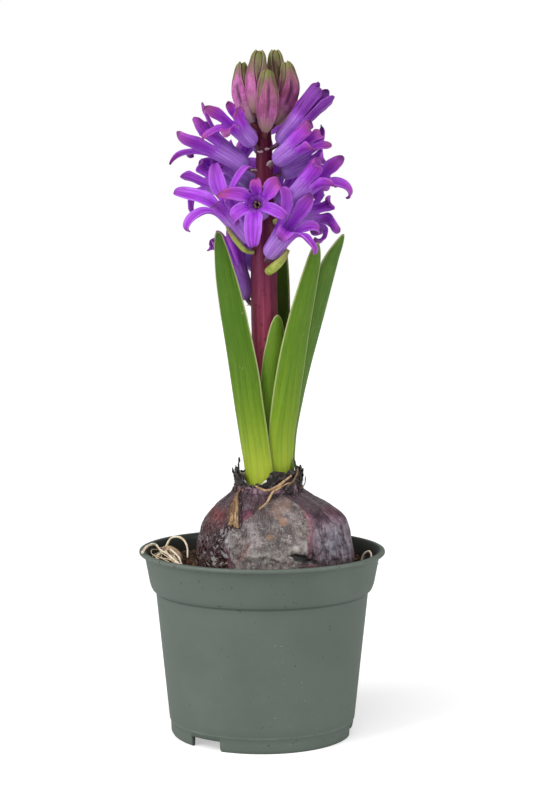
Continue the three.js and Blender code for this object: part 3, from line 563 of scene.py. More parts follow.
# Geometry Nodes: small helpers, and the trees for what repeats
class Tree:
    def __init__(self, name, inputs):
        self.group = bpy.data.node_groups.new(name, "GeometryNodeTree")
        face = self.group.interface
        face.new_socket("Geometry", in_out="INPUT", socket_type="NodeSocketGeometry")
        for label, kind, default in inputs:
            socket = face.new_socket(label, in_out="INPUT", socket_type="NodeSocket" + kind)
            socket.default_value = default
        face.new_socket("Geometry", in_out="OUTPUT", socket_type="NodeSocketGeometry")
        self.source = self.node("NodeGroupInput")
        self.result = self.node("NodeGroupOutput")

    def node(self, kind, inputs=None, **settings):
        node = self.group.nodes.new(kind)
        for name, value in settings.items():
            setattr(node, name, value)
        for name, value in (inputs or {}).items():
            self.put(node.inputs[name], value)
        return node

    def put(self, socket, value):
        """Sets a socket, or links it: a node stands for its first output."""
        if isinstance(value, bpy.types.Node):
            value = value.outputs[0]
        if isinstance(value, bpy.types.NodeSocket):
            self.group.links.new(value, socket)
        else:
            socket.default_value = value

    def given(self, label):
        return self.source.outputs[label]

    def scattered(self):
        """Points spread over the carrier's faces."""
        inputs = {"Mesh": "Geometry", "Density": "Density", "Seed": "Seed"}
        return self.node("GeometryNodeDistributePointsOnFaces",
                         {socket: self.given(label) for socket, label in inputs.items()})

    def toned(self, instances, seed):
        """The instances as real geometry, each with a random tone of its own."""
        tone = self.node("FunctionNodeRandomValue", {"Seed": seed}, data_type="FLOAT")
        marked = self.node("GeometryNodeStoreNamedAttribute",
                           {"Geometry": instances, "Name": "tone", "Value": tone.outputs[1]},
                           data_type="FLOAT", domain="INSTANCE")
        return self.node("GeometryNodeRealizeInstances", {"Geometry": marked})

    def end(self, geometry, material):
        real = self.node("GeometryNodeRealizeInstances", {"Geometry": geometry})
        painted = self.node("GeometryNodeSetMaterial", {"Geometry": real, "Material": material})
        smooth_faces = self.node("GeometryNodeSetShadeSmooth", {"Geometry": painted})
        self.put(self.result.inputs[0], smooth_faces)
        return self.group


def run_tree(carrier, group, name, **values):
    """Grows the tree on a carrier object, with its named inputs set, and gives back a plain object."""
    grower = carrier.modifiers.new("grow", "NODES")
    grower.node_group = group
    sockets = {s.name: s.identifier for s in group.interface.items_tree if s.in_out == "INPUT"}
    for label, value in values.items():
        grower[sockets[label.replace("_", " ")]] = value
    return made_plain(carrier, name)


def crumb_tree(material):
    """Lumps of potting mix, of mixed sizes and shapes, that lie on the carrier's faces."""
    t = Tree("crumbs", [("Density", "Float", 1.0), ("Smallest", "Float", 0.0002),
                        ("Largest", "Float", 0.001), ("Roughness", "Float", 0.0003), ("Seed", "Int", 1)])
    spread = t.scattered()
    dice = t.node("FunctionNodeRandomValue", {"Seed": t.given("Seed")}, data_type="FLOAT")
    skewed = t.node("ShaderNodeMath", {0: dice.outputs[1], 1: 2.6}, operation="POWER")
    size = t.node("ShaderNodeMapRange", {"Value": skewed, 3: t.given("Smallest"), 4: t.given("Largest")})
    squash = t.node("FunctionNodeRandomValue", {0: (0.6, 0.5, 0.45), 1: (1.5, 1.0, 1.0), "Seed": 7},
                    data_type="FLOAT_VECTOR")
    scaled = t.node("ShaderNodeVectorMath", {0: squash, "Scale": size}, operation="SCALE")
    turn = t.node("FunctionNodeRandomValue", {0: (0, 0, 0), 1: (6.3, 6.3, 6.3), "Seed": 3},
                  data_type="FLOAT_VECTOR")
    lump = t.node("GeometryNodeMeshUVSphere", {"Segments": 6, "Rings": 5, "Radius": 1.0})
    placed = t.node("GeometryNodeInstanceOnPoints", {"Points": spread, "Instance": lump, "Scale": scaled})
    t.put(placed.inputs["Rotation"], turn)
    real = t.toned(placed, 11)
    rough = t.node("ShaderNodeTexNoise", {"Scale": 1400.0, "Detail": 2.0})
    centred = t.node("ShaderNodeVectorMath", {0: rough.outputs["Color"], 1: (0.5, 0.5, 0.5)},
                     operation="SUBTRACT")
    shift = t.node("ShaderNodeVectorMath", {0: centred, "Scale": t.given("Roughness")}, operation="SCALE")
    bent = t.node("GeometryNodeSetPosition", {"Geometry": real, "Offset": shift})
    return t.end(bent, material)


def strand_tree(material, lying=False):
    """Short bent fibres over the carrier's faces: heaped at all angles, or lying flat on them."""
    t = Tree("strands", [("Density", "Float", 1.0), ("Shortest", "Float", 0.002),
                         ("Longest", "Float", 0.006), ("Radius", "Float", 0.0001), ("Seed", "Int", 1)])
    spread = t.scattered()
    middle = (0, 0.3, 0.04) if lying else (0, 0.35, 0.3)
    arc = t.node("GeometryNodeCurveQuadraticBezier",
                 {"Resolution": 6, "Start": (-0.5, 0, 0), "Middle": middle, "End": (0.5, 0, 0)})
    placed = t.node("GeometryNodeInstanceOnPoints", {"Points": spread, "Instance": arc})
    length = t.node("FunctionNodeRandomValue", {"Seed": 5}, data_type="FLOAT")
    t.put(length.inputs[2], t.given("Shortest"))
    t.put(length.inputs[3], t.given("Longest"))
    t.put(placed.inputs["Scale"], length.outputs[1])
    tilt = 0.0 if lying else 0.5
    turn = t.node("FunctionNodeRandomValue", {0: (-tilt, -tilt, 0), 1: (tilt, tilt, 6.3), "Seed": 9},
                  data_type="FLOAT_VECTOR")
    if lying:
        spin = t.node("FunctionNodeEulerToRotation", {0: turn})
        laid = t.node("FunctionNodeRotateRotation", {0: spread.outputs["Rotation"], 1: spin},
                      rotation_space="LOCAL")
        t.put(placed.inputs["Rotation"], laid)
    else:
        t.put(placed.inputs["Rotation"], turn)
    real = t.toned(placed, 12)
    ring = t.node("GeometryNodeCurvePrimitiveCircle", {"Resolution": 5, "Radius": t.given("Radius")})
    solid = t.node("GeometryNodeCurveToMesh", {"Curve": real, "Profile Curve": ring, "Fill Caps": True})
    return t.end(solid, material)


def make_crumbs(bed, material):
    """Loose crumbs and fibres over the bed of mix; the bulb covers the rest."""
    seen = [face for face in bed.faces
            if hypot(*(bed.points[face[0]][:2] - (BULB_CENTRE_X, 0))) > BULB_RADIUS - 1.5]
    top = Shape(bed.points, seen)
    crumbs = run_tree(raw_object("crumb_bed", top), crumb_tree(material), "soil_crumbs", Density=1.25e6,
                      Smallest=0.00028, Largest=0.0017, Roughness=0.0009, Seed=4)
    register(crumbs, "soil")
    strands = run_tree(raw_object("strand_bed", top), strand_tree(material), "soil_fibres", Density=2.6e5,
                       Shortest=0.0018, Longest=0.0062, Radius=0.00011, Seed=8)
    register(strands, "soil")


# Bulb
BULB_FOOT = 35.5
SKIN_FROM = 58  # below this height, in the mix, the skin is plain
BULB_OUTLINE = [  # height, radius
    (BULB_FOOT, 8.5), (38, 10.5), (43, 20), (52, 27), (62, BULB_RADIUS), (70.5, 28.6), (78.5, 26.1),
    (84, 21.2), (87.8, 15.6), (90, 12.5), (NECK_TOP, 11.3),
]


def bulb_centre_x(z):
    return lerp(BULB_CENTRE_X, NECK_CENTRE_X, smooth((z - 80) / 12))


def on_bulb(azimuth, z, lift=0.0):
    """A point on the bulb's outside, at an azimuth and a height, lifted off it."""
    turn = radians(azimuth - 90)
    share = sin(pi * min(max((z - 34) / 62, 0), 1))
    swell = share * (0.5 * sin(3 * turn + 0.9) + 0.35 * sin(5 * turn - 0.06 * z))
    r = float(flow(BULB_OUTLINE, z)) + swell + lift
    return np.array([bulb_centre_x(z) + r * cos(turn), 0.98 * r * sin(turn), z])


# The grey papery layer over the front: height, azimuth of its left edge, azimuth of its right edge
PAPER_EDGES = [
    (58, -26, 14), (66, -30, 19), (70, -34, 23), (73, -37, 26), (76.5, -37, 29), (80.5, -32, 31),
    (82.5, -25, 32), (84.5, -17, 33), (86.5, -9, 33), (88, 3, 29), (89.2, 14, 24), (90.5, 20, 21),
]


# Right edge of the tan strip: height, azimuth
STRIP_SIDE = [(79, -27.5), (80.5, -28), (83, -31), (86, -36), (87.5, -41), (89, -47), (91, -55)]


def skin_marks(azimuth, z):
    """What the bulb's skin looks like at a place: how much of each finish, mostly from 0 to 1."""
    def patch(middle, height, wide, tall):
        return bell(azimuth - middle, wide) * bell(z - height, tall)

    place = on_bulb(azimuth, z)
    ragged = 5.0 * wander(place, 4.5, 1) + 3.5 * wander(place, 1.5, 2)
    left = edge_at(z, 1) + ragged
    right = edge_at(z, 2) + 0.3 * ragged
    front = smooth((azimuth - left + 5) / 11.0) * smooth((right - azimuth) / 1.0)
    # The same kind of layer, torn in patches, on the far side
    worn = 0.7 * wander(place, 11, 3) + 0.4 * wander(place, 4, 13)
    far = 0.8 * smooth((abs(azimuth) - 95) / 25) * smooth((worn + 0.2) / 0.4)
    paper = max(front, far * smooth((88 - z) / 5))
    seam = azimuth - right - 0.5 - 0.4 * wander(place, 1.2, 11)
    edge = 0.9 * bell(seam, 1.35) * smooth((z - 70) / 5) * smooth((88 - z) / 4)
    edge += 0.35 * bell(seam, 2.4) * smooth((z - 76) / 4) * smooth((86 - z) / 4)
    film = smooth((-30 - azimuth) / 10) * smooth((azimuth + 112) / 25) * smooth((82 - z) / 5)
    red = smooth((z - 71) / 9) * smooth((azimuth + 108) / 20) * smooth((-38 - azimuth) / 18)
    red += 0.45 * smooth((wander(place, 3.2, 5) - 0.12) / 0.3) * smooth((z - 80) / 6)
    haze = smooth((azimuth - 26) / 14) * smooth((86 - z) / 9) * smooth((150 - azimuth) / 40)
    haze *= 0.46 + 0.75 * patch(52, 72, 22, 6)
    shade = patch(-12, 83.5, 16, 4.5) + 0.55 * patch(10, 79, 9, 2.6)
    shade += 0.55 * patch(-24, 78, 6, 3)
    shade += 0.55 * wander(place, 5, 41) - 0.5 * patch(24, 76.5, 7, 4)
    stain = patch(8, 81.5, 4.2, 1.6) + 0.8 * patch(-3, 76.5, 3.6, 1.5)
    brown = 0.9 * patch(13, 87, 14, 2.4) + 0.5 * patch(2, 84, 9, 2.5)
    brown += 0.4 * wander(place, 4, 43)
    crack_line = azimuth + 24 - 1.35 * (z - 69) + 2.2 * wander(place, 1.6, 8)
    crack = bell(crack_line, 0.9) * smooth((z - 66) / 2) * smooth((76 - z) / 3)
    # The gaps dip the skin, and the finish paints them near black as shade
    lowest = 69.8 - 0.09 * (azimuth - 12) + 2.0 * wander(place, 2.2, 18)
    wide = 0.7 + 0.6 * smooth((azimuth - 10) / 10)
    gap = bell(z - lowest + 0.4, wide) * smooth((azimuth - 9) / 4) * smooth((36 - azimuth) / 4)
    tear = 67 + 3.6 * wander(place, 3, 19)
    gap += 0.55 * bell(z - tear, 0.9) * smooth((wander(place, 2.0, 20) - 0.10) / 0.15)
    torn = patch(16.5, 72.6, 2.6, 1.4) + 0.8 * patch(24, 71.5, 1.2, 2.5)
    torn += 0.6 * patch(-12, 70, 3, 1.2) + 0.34 * patch(-4, 70.2, 21, 2.2)
    # The strip's shadow on its right, then the wine-red skin between the strip and the paper
    strip = azimuth - np.interp(z, *zip(*STRIP_SIDE)) - 0.9
    gap += 0.9 * bell(strip, 0.9) * smooth((z - 78.3) / 1.5) * smooth((91 - z) / 1)
    wine = patch(-24, 84, 8, 3.0)
    # lilac: painted highlights on the folds above the wine-red skin
    lilac = 0.9 * patch(-26, 86.0, 5, 0.8) + 0.8 * patch(-17, 89.2, 6, 0.8)
    flap = patch(14, 89.5, 11, 1.2)
    neck = smooth((z - 82.5) / 4) * (1 - paper)
    return dict(paper=paper, edge=edge, film=film, red=red, haze=haze, shade=shade, stain=stain,
                brown=brown, crack=crack, gap=gap, torn=torn, flap=flap, neck=neck,
                wine=wine, lilac=lilac)


def edge_at(z, side):
    return float(np.interp(z, *zip(*column(PAPER_EDGES, side))))


def skin_relief(azimuth, z, mark):
    """How far the skin stands off the plain bulb at a place, in mm."""
    place = on_bulb(azimuth, z)
    dents = 0.85 * wander(place, 13, 4) + 0.35 * wander(place, 5.5, 6)
    # A wet film with sharp crumples at the left, and upright folds under the neck
    flat = (azimuth * 0.45 + 2.0 * wander(place, 5, 31), z * 0.72, 0)
    crumples = 1.4 * (0.28 - abs(wander(flat, 2.7, 7))) + 0.45 * (0.28 - abs(wander(flat, 1.5, 8)))
    upright = (azimuth * 0.34 + 1.5 * wander(place, 4, 32) + (z - 86) * 0.5, z * 0.3, 0)
    folds = 1.15 * (0.25 - abs(wander(upright, 1.7, 15))) + 0.2 * wander(place, 1.1, 16)
    dry = 0.30 * wander(place, 2.3, 14) + 0.15 * wander(place * (1, 1, 0.5), 1.0, 9)
    fleshy = 0.10 * wander(place * (1, 1, 0.3), 1.6, 17) * (1 - mark["paper"])
    step = 0.42 * mark["paper"] + 0.34 * min(mark["edge"], 1) - 0.35 * mark["crack"]
    torn = 0.45 * mark["torn"] - 0.8 * min(mark["gap"], 1)
    loose = mark["film"] * crumples + mark["neck"] * folds + mark["paper"] * dry
    return dents + loose + fleshy + step + torn - 0.2


def make_bulb(material):
    rim = NECK_TOP - 0.2
    heights = np.concatenate([np.linspace(BULB_FOOT, SKIN_FROM, 9),
                              np.linspace(SKIN_FROM + 0.5, rim, 132)])
    sectors = 400
    azimuths = np.linspace(-180, 180, sectors, endpoint=False)
    rings = []
    marks = []
    for z in heights:
        ring = []
        seen = smooth((z - SKIN_FROM + 1) / 4) * smooth((91.5 - z) / 2)
        for azimuth in azimuths:
            mark = skin_marks(azimuth, max(z, SKIN_FROM))
            ring.append(on_bulb(azimuth, z, seen * skin_relief(azimuth, z, mark)))
            turn = radians(azimuth)
            mark.update(dir_x=sin(turn), dir_y=-cos(turn))
            marks.append(mark)
        rings.append(ring)
    well = [(WELL_RADIUS + 0.8, NECK_TOP), (WELL_RADIUS + 0.1, rim), (WELL_RADIUS, WELL_FLOOR)]
    for radius, z in well:
        turns = np.radians(azimuths - 90)
        rings.append([(NECK_CENTRE_X + radius * cos(t), radius * sin(t), z) for t in turns])
        marks += [dict(marks[-1], paper=0, film=0, edge=0)] * sectors
    values = {name: [mark[name] for mark in marks] for name in marks[0]}
    body = loft(rings, (BULB_CENTRE_X, 0, BULB_FOOT + 0.5), (NECK_CENTRE_X, 0, WELL_FLOOR), **values)
    return piece("bulb_skin", body, material, "bulb", "bulb")


def bulb_skin():
    f = Finish("bulb_skin")
    place = f.place()
    red, neck = f.value("red"), f.value("neck")
    around = f.combined(f.value("dir_x"), f.value("dir_y"), f.times(f.axis(2), 2.6))
    fibres = f.grain(around, 38, 5, 0.68, 0.6)
    streaks = f.grain(around, 13, 5, 0.66, 0.9)
    mottled = f.grain(place, 170, 6, 0.7)
    blotched = f.grain(place, 75, 5, 0.65)
    small = f.grain(place, 560, 5, 0.72)
    tiny = f.grain(place, 1500, 3, 0.7)
    # Fleshy outer scales: near-black purple to plum, red at the upper left
    f.colour = f.ramp(f.blend(mottled, 0.6, streaks, 0.4), 0.42, 0.58, (0.024, 0.006, 0.014),
                      (0.185, 0.060, 0.102))
    lit = f.ramp(f.blend(streaks, 0.4, small, 0.6), 0.45, 0.55, (0.018, 0.004, 0.007),
                 (0.235, 0.044, 0.040))
    f.coat(lit, red, 0.92)
    veins = f.between(f.grain(around, 24, 3, 0.6, 1.2), 0.60, 0.70)
    f.coat((0.235, 0.070, 0.115), veins, 0.4)
    f.coat((0.255, 0.135, 0.165), f.between(small, 0.53, 0.64, 0.0, 0.6))
    f.coat((0.014, 0.005, 0.009), f.between(tiny, 0.36, 0.48, 0.75, 0.0))
    film = f.value("film")
    f.coat((0.030, 0.008, 0.014), film, 0.55)
    f.coat((0.130, 0.022, 0.020), red, 0.22)
    # The folds under the neck are painted darker as shade, with greyish painted highlights on their ridges
    upright = f.grain(around, 26, 5, 0.7, 2.2)
    ridge = f.ramp(upright, 0.42, 0.58, (0.035, 0.014, 0.024), (0.310, 0.190, 0.235))
    f.coat(ridge, neck, 0.8)
    wine = f.ramp(f.blend(small, 0.5, streaks, 0.5), 0.42, 0.58, (0.036, 0.006, 0.016),
                  (0.225, 0.052, 0.100))
    f.coat(wine, f.value("wine"), 0.9)
    # Painted lilac highlights
    f.coat((0.46, 0.36, 0.46), f.value("lilac"), f.between(small, 0.42, 0.58, 0.2, 1.0))
    # Lilac-grey bloom on the right
    powder = f.blend(mottled, 0.65, streaks, 0.35)
    bloom = f.ramp(powder, 0.40, 0.62, (0.070, 0.044, 0.074), (0.310, 0.290, 0.355))
    bloom = f.mix(f.between(small, 0.50, 0.60, 0.0, 0.7), bloom, (0.43, 0.42, 0.46))
    bloom = f.mix(f.between(f.grain(place, 300, 4, 0.7), 0.5, 0.64, 0.0, 0.65), bloom,
                  (0.045, 0.028, 0.048))
    f.coat(bloom, f.value("haze"), f.between(powder, 0.38, 0.56, 0.15, 1.0))
    flesh = f.colour
    # Grey papery layer: charcoal and lilac-grey, with brown stains and thin pale scratches
    f.colour = f.ramp(f.blend(fibres, 0.3, small, 0.7), 0.43, 0.58, (0.046, 0.033, 0.031),
                      (0.325, 0.270, 0.256))
    light = f.minus(blotched, f.times(f.value("shade"), 0.12))
    f.coat((0.345, 0.300, 0.312), f.between(light, 0.46, 0.58, 0.0, 0.6))
    f.coat((0.036, 0.026, 0.027), f.between(mottled, 0.49, 0.57, 0.0, 0.66))
    mossy = f.between(f.grain(place, 120, 5, 0.7, 1.0), 0.50, 0.60)
    f.coat((0.075, 0.072, 0.052), mossy, 0.42)
    warm = f.between(f.grain(place, 95, 5, 0.7, 2.0), 0.50, 0.60)
    f.coat((0.170, 0.085, 0.068), warm, 0.40)
    f.coat((0.030, 0.024, 0.026), f.between(tiny, 0.36, 0.46, 0.6, 0.0))
    rusty = f.between(f.plus(f.value("brown"), f.times(small, 0.8)), 0.55, 1.15)
    f.coat((0.260, 0.150, 0.118), rusty, 0.62)
    dark = f.between(f.plus(f.value("shade"), mottled), 0.60, 1.15)
    f.coat((0.048, 0.032, 0.034), dark, 0.72)
    pale = f.between(f.grain(place, 760, 5, 0.75, 1.4), 0.555, 0.64)
    f.coat((0.50, 0.48, 0.46), pale, 0.62)
    scratched = f.between(f.grain(around, 85, 3, 0.7, 2.0), 0.56, 0.64)
    f.coat((0.42, 0.39, 0.38), scratched, 0.45)
    stained = f.between(f.plus(f.value("stain"), f.times(small, 0.9)), 0.72, 1.3)
    f.coat((0.36, 0.185, 0.100), stained, 0.62)
    sheet = f.colour
    cover = f.plus(f.value("paper"), f.times(f.minus(mottled, 0.5), 1.2))
    cover = f.between(cover, 0.38, 0.62)
    f.colour = f.mix(cover, flesh, sheet)
    rosy = f.ramp(small, 0.35, 0.65, (0.27, 0.075, 0.105), (0.50, 0.240, 0.285))
    f.coat(rosy, f.value("edge"), 0.85)
    f.coat((0.17, 0.026, 0.024), f.value("crack"), 0.85)
    flap = f.ramp(small, 0.42, 0.62, (0.012, 0.010, 0.012), (0.105, 0.095, 0.108))
    f.coat(flap, f.value("flap"), f.between(mottled, 0.36, 0.5, 0.3, 1.0))
    f.coat((0.50, 0.47, 0.43), f.value("torn"), f.between(small, 0.3, 0.6, 0.2, 1.0))
    # Soil dust low down, carried higher on the wet film as painted shade; then painted shade in the gaps
    # and the strip's painted shadow
    foot = f.plus(f.axis(2), f.minus(f.times(mottled, 0.010), f.times(film, 0.0028)))
    low = f.between(foot, 0.0690, 0.0728, 1.0, 0.0)
    dusty = f.ramp(small, 0.4, 0.6, (0.016, 0.010, 0.009), (0.115, 0.070, 0.045))
    f.coat(dusty, low, f.between(mottled, 0.40, 0.55, 0.25, 0.85))
    # Painted shade in the gaps and crevices
    painted_crevice_shade = f.between(f.plus(f.value("gap"), f.times(small, 0.5)), 0.62, 0.95)
    f.coat((0.010, 0.007, 0.007), painted_crevice_shade)
    bare = f.times(f.minus(1.0, cover), f.between(mottled, 0.40, 0.55, 0.05, 0.30))
    wet = f.plus(f.plus(film, f.times(neck, 0.6)), bare)
    wet = f.times(f.between(wet, 0.1, 0.8), f.between(small, 0.3, 0.6, 1.0, 0.85))
    dry = f.between(small, 0.3, 0.7, 0.42, 0.68)
    roughness = f.minus(dry, f.times(wet, 0.36))
    relief = f.blend(fibres, 0.6, small, 0.9)
    normal = f.bump(relief, 0.7, 0.0006)
    # Sharp crumples in the wet film and folds at the neck
    crumpled = f.grain(f.stretched(place, (1, 1, 0.5)), 240, 1, 0.5, 1.2)
    crumpled = f.maths("ABSOLUTE", f.minus(crumpled, 0.5))
    folded = f.maths("ABSOLUTE", f.minus(upright, 0.5))
    creases = f.plus(f.times(crumpled, f.times(film, -8.5)), f.times(folded, f.times(neck, -3.0)))
    normal = f.bump(creases, 1.0, 0.0012, normal)
    return f.done(roughness, normal, Specular_IOR_Level=0.55, Coat_Weight=wet, Coat_Roughness=0.15)


def make_skin_fibres(material):
    """Short pale fibres that lie on the lower front of the papery layer."""
    heights = np.linspace(66.5, 78, 20)
    azimuths = np.linspace(-31, 6, 40)
    points = [on_bulb(a, z, skin_relief(a, z, skin_marks(a, z)) + 0.07) for z in heights
              for a in azimuths]
    bed = raw_object("fibre_bed", Shape(points, grid_faces(len(heights), len(azimuths))))
    fibres = run_tree(bed, strand_tree(material, lying=True), "skin_fibres", Density=1.6e5,
                      Shortest=0.0006, Longest=0.0020, Radius=0.000032, Seed=15)
    return register(fibres, "dry_scale")


# Dry scales, fibres and the pale sheath round the neck
NECK_RADIUS = 12
DEGREES_PER_MM = 57.3 / NECK_RADIUS  # along the neck's girth
NECK_RING_RADIUS = 12.1
NECK_RING_FOOT = 89.6
SHEATH_RADIUS = 10.6
NECK_TOPS = [(-180, 95.4), (-130, 96.2), (-104, 95.2), (-92, 97.4), (-82, 95.8), (-70, 98.6), (-58, 95.4),
             (-46, 93.2), (-30, 92.2), (-12, 92.6), (0, 94.6), (14, 97.4), (30, 96.6), (44, 97.8),
             (58, 97.2), (72, 99), (86, 97), (100, 98), (120, 95.6), (150, 96.4), (180, 95.4)]
SHEATH_TOPS = [(-180, 95), (-100, 95.6), (-78, 97.2), (-62, 95), (-46, 93), (-32, 92), (-18, 92.6),
               (-6, 94.6), (4, 96.4), (20, 96.6), (90, 95.6), (180, 95)]


def round_neck(azimuth, radius, z):
    place = outward(azimuth) * radius
    return np.array([NECK_CENTRE_X + place[0], place[1], z])


def crumple(place, seed):
    """An uneven push of about a millimetre, for thin dry tissue."""
    return 0.75 * wander(place, 1.7, seed) + 0.35 * wander(place, 0.7, seed + 3)


def neck_ring():
    """The torn ring that the old scales leave: a wavy sheet with a ragged top."""
    columns, rows = 240, 14
    points, tone, foot = [], [], []
    for row in range(rows):
        up = row / (rows - 1)
        for i in range(columns):
            azimuth = 360 * i / columns - 180
            place = round_neck(azimuth, NECK_RADIUS, 0)
            top = np.interp(azimuth, *zip(*NECK_TOPS))
            top += 1.6 * wander(place, 2.0, 1) + 0.7 * wander(place, 0.9, 2)
            radius = NECK_RING_RADIUS - 0.3 * smooth(up / 0.35)
            radius += 0.45 * wander(place + (0, 0, up * 4), 2.6, 3) * smooth(up / 0.2)
            radius += 0.75 * crumple(place + (0, 0, up * 5), 4) * (0.1 + 0.9 * up)
            z = lerp(NECK_RING_FOOT, top, up)
            points.append(round_neck(azimuth, radius, z))
            foot.append(smooth((92.8 + 1.3 * wander(place, 2.4, 27) - z) / 0.7))
            tone.append(0.10 + 0.62 * wander(place + (0, 0, up * 3), 2.6, 5) - 0.15 * up)
    return thick_sheet(Shape(points, grid_faces(rows, columns, closed=True), tone=tone, foot=foot), 0.45)


def scale_flake(azimuth, low, high, width, radius, lean, tone, seed):
    """One dried scale: a crumpled strip that stands on the neck or hangs from it, with a torn end."""
    columns, rows = 9, 14
    points, shades = [], []
    for row in range(rows):
        up = row / (rows - 1)
        for i in range(columns):
            across = 2 * i / (columns - 1) - 1
            torn = 0.8 * wander((across * 2, up, 0), 1.1, seed) * up
            narrow = 1 - 0.3 * up**2 + 0.22 * wander((across, up * 5, 0), 1, seed + 0.3)
            z = lerp(low, high - across**2 * 0.9, up) + torn
            turn = azimuth + across * narrow * width / 2 * DEGREES_PER_MM
            turn += 5 * up * wander((up * 2, 0, 0), 1, seed)
            out = radius + lean * up**2 + crumple((across * 2.2, up * 6, seed), seed)
            points.append(round_neck(turn, out, z))
            shades.append(tone + 0.3 * wander((across * 3, up * 6, seed), 1, seed))
    return thick_sheet(Shape(points, grid_faces(rows, columns), tone=shades), 0.22)


def skin_ribbon(path, start_width, end_width, lift, tone, seed):
    """A torn ribbon of dry skin on the bulb, along a path of azimuths and heights; widths in degrees."""
    line = spline([(azimuth, z, 0) for azimuth, z in path], 56)
    columns = 15
    points, shades = [], []
    for k, (azimuth, z, _) in enumerate(line):
        s = k / 55
        width = lerp(start_width, end_width, smooth(s / 0.7))
        width *= 1 + 0.25 * wander((s * 6, 0, 0), 1, seed)
        for u in np.linspace(-1, 1, columns):
            frayed = (1.1 * wander((u * 5, 0, 0), 1, seed) - 0.5 * u * u) * smooth((s - 0.7) / 0.3)
            crease = 0.34 * wander((u * 3.5, s * 2.5, seed), 1, seed)
            crease += 0.22 * wander((u * 9, s * 5, 0), 1, seed + 1)
            points.append(on_bulb(azimuth + u * width, z + frayed, lift + crease - 0.45 * abs(u) ** 3))
            shade = 0.36 * wander((u * 7, s * 2.5, seed), 1, seed + 2)
            shade += 0.3 * wander((u * 3, s * 9, 0), 1, seed)
            shades.append(tone + shade - 0.35 * abs(u) ** 5)
    return thick_sheet(Shape(points, grid_faces(len(line), columns), tone=shades), 0.2)


def skin_strip():
    """The tan strip of old skin that hangs down the bulb's front left, with loose ribbons on it."""
    ribbons = [
        ([(-59, 91.3), (-51.5, 89), (-42, 85.2), (-36, 82.2), (-33.6, 79.9)], 2.5, 6.0, 1.15, 0.66, 1),
        ([(-57, 91.2), (-49, 89), (-38.2, 86), (-33.2, 83), (-30, 79.7)], 1.4, 2.4, 1.4, 0.74, 2),
        ([(-46, 87), (-41, 85), (-37.4, 82.6), (-36.2, 80.1)], 0.8, 1.6, 1.3, 0.72, 3),
        ([(-52, 87), (-46.5, 85), (-42, 82.6), (-39.8, 80.3)], 0.7, 1.4, 1.1, 0.5, 4),
    ]
    return joined([skin_ribbon(*row) for row in ribbons])


def make_neck(material):
    dice = np.random.default_rng(21)
    shapes = [neck_ring(), skin_strip()]
    standing, hanging = 36, 9
    for k in range(standing):
        azimuth = -180 + 360 * (k + dice.uniform(-0.4, 0.4)) / standing
        top = np.interp(azimuth, *zip(*NECK_TOPS))
        tone = dice.uniform(-0.1, 0.26) if dice.random() < 0.78 else dice.uniform(0.3, 0.6)
        shapes.append(scale_flake(azimuth, 91.9 + dice.uniform(0, 1.4), top + dice.uniform(-1.4, 0.9),
                                  dice.uniform(3.5, 8), dice.uniform(11.3, 12.4), dice.uniform(-0.5, 0.8),
                                  tone, k + 1.5))
    for k in range(hanging):
        azimuth = 30 + 290 * (k + dice.uniform(-0.4, 0.4)) / hanging
        length = dice.uniform(0.5, 1.5)
        tone = dice.uniform(-0.1, 0.3) if dice.random() < 0.7 else dice.uniform(0.4, 0.7)
        shapes.append(scale_flake(azimuth, 91.8, 90.8 - length * 0.5, dice.uniform(2, 5), 12.3,
                                  length * 0.7, tone, k + 60.5))
    # Loose curls that stand up beside the leaves: azimuth, foot, tip, width, radius, lean
    curls = [(-80, 94, 101.8, 2.2, 11.2, -0.5), (-74, 92, 99.2, 4.6, 11.8, 0.6),
             (-90, 91.5, 97.6, 4.8, 12.2, 0.9), (66, 93, 101.6, 2.2, 11.0, -0.6),
             (76, 92, 99.0, 4.4, 11.8, 0.5), (88, 91.5, 97.8, 4.6, 12.2, 0.7)]
    for k, (azimuth, low, high, width, radius, lean) in enumerate(curls):
        shapes.append(scale_flake(azimuth, low, high, width, radius, lean, 0.05, k + 90.5))
    fibre_paths = [
        ([(-9, 20.9, 85.6), (-2, 18.3, 87.6), (3, 15.4, 89.8), (8, 13.8, 91.2), (18, 13.4, 92.8),
          (31, 12.9, 95.2)],
         0.42, 0.95),
        ([(-24, 12.6, 93), (-13, 13.5, 92), (-2, 13.9, 91.4), (12, 13.7, 92.6), (26, 13.2, 94.6),
          (40, 12.8, 96.2)],
         0.48, 0.9),
        ([(6, 14.2, 90.8), (16, 13.9, 92.0), (28, 13.5, 93.4), (44, 13.2, 94.0)], 0.25, 0.85),
        ([(30, 13.4, 92.4), (42, 13.6, 94.6), (52, 13.2, 96.8), (58, 12.6, 98.2)], 0.3, 0.75),
        ([(60, 13.6, 91), (72, 13.9, 92.6), (84, 13.6, 94.8)], 0.22, 0.7),
    ]
    for path, radius, tone in fibre_paths:
        line = spline([round_neck(*place) for place in path], 40)
        radii = []
        for i, p in enumerate(line):
            taper = 1 - 0.35 * abs(2 * i / 39 - 1) ** 2
            radii.append(radius * (taper + 0.2 * wander(p, 1, 3)))
        shapes.append(tube(line, radii, 8, tone=np.full(40, tone)))
    return piece("neck_dry_scales", joined(shapes), material, "dry_scale", "neck_scales")


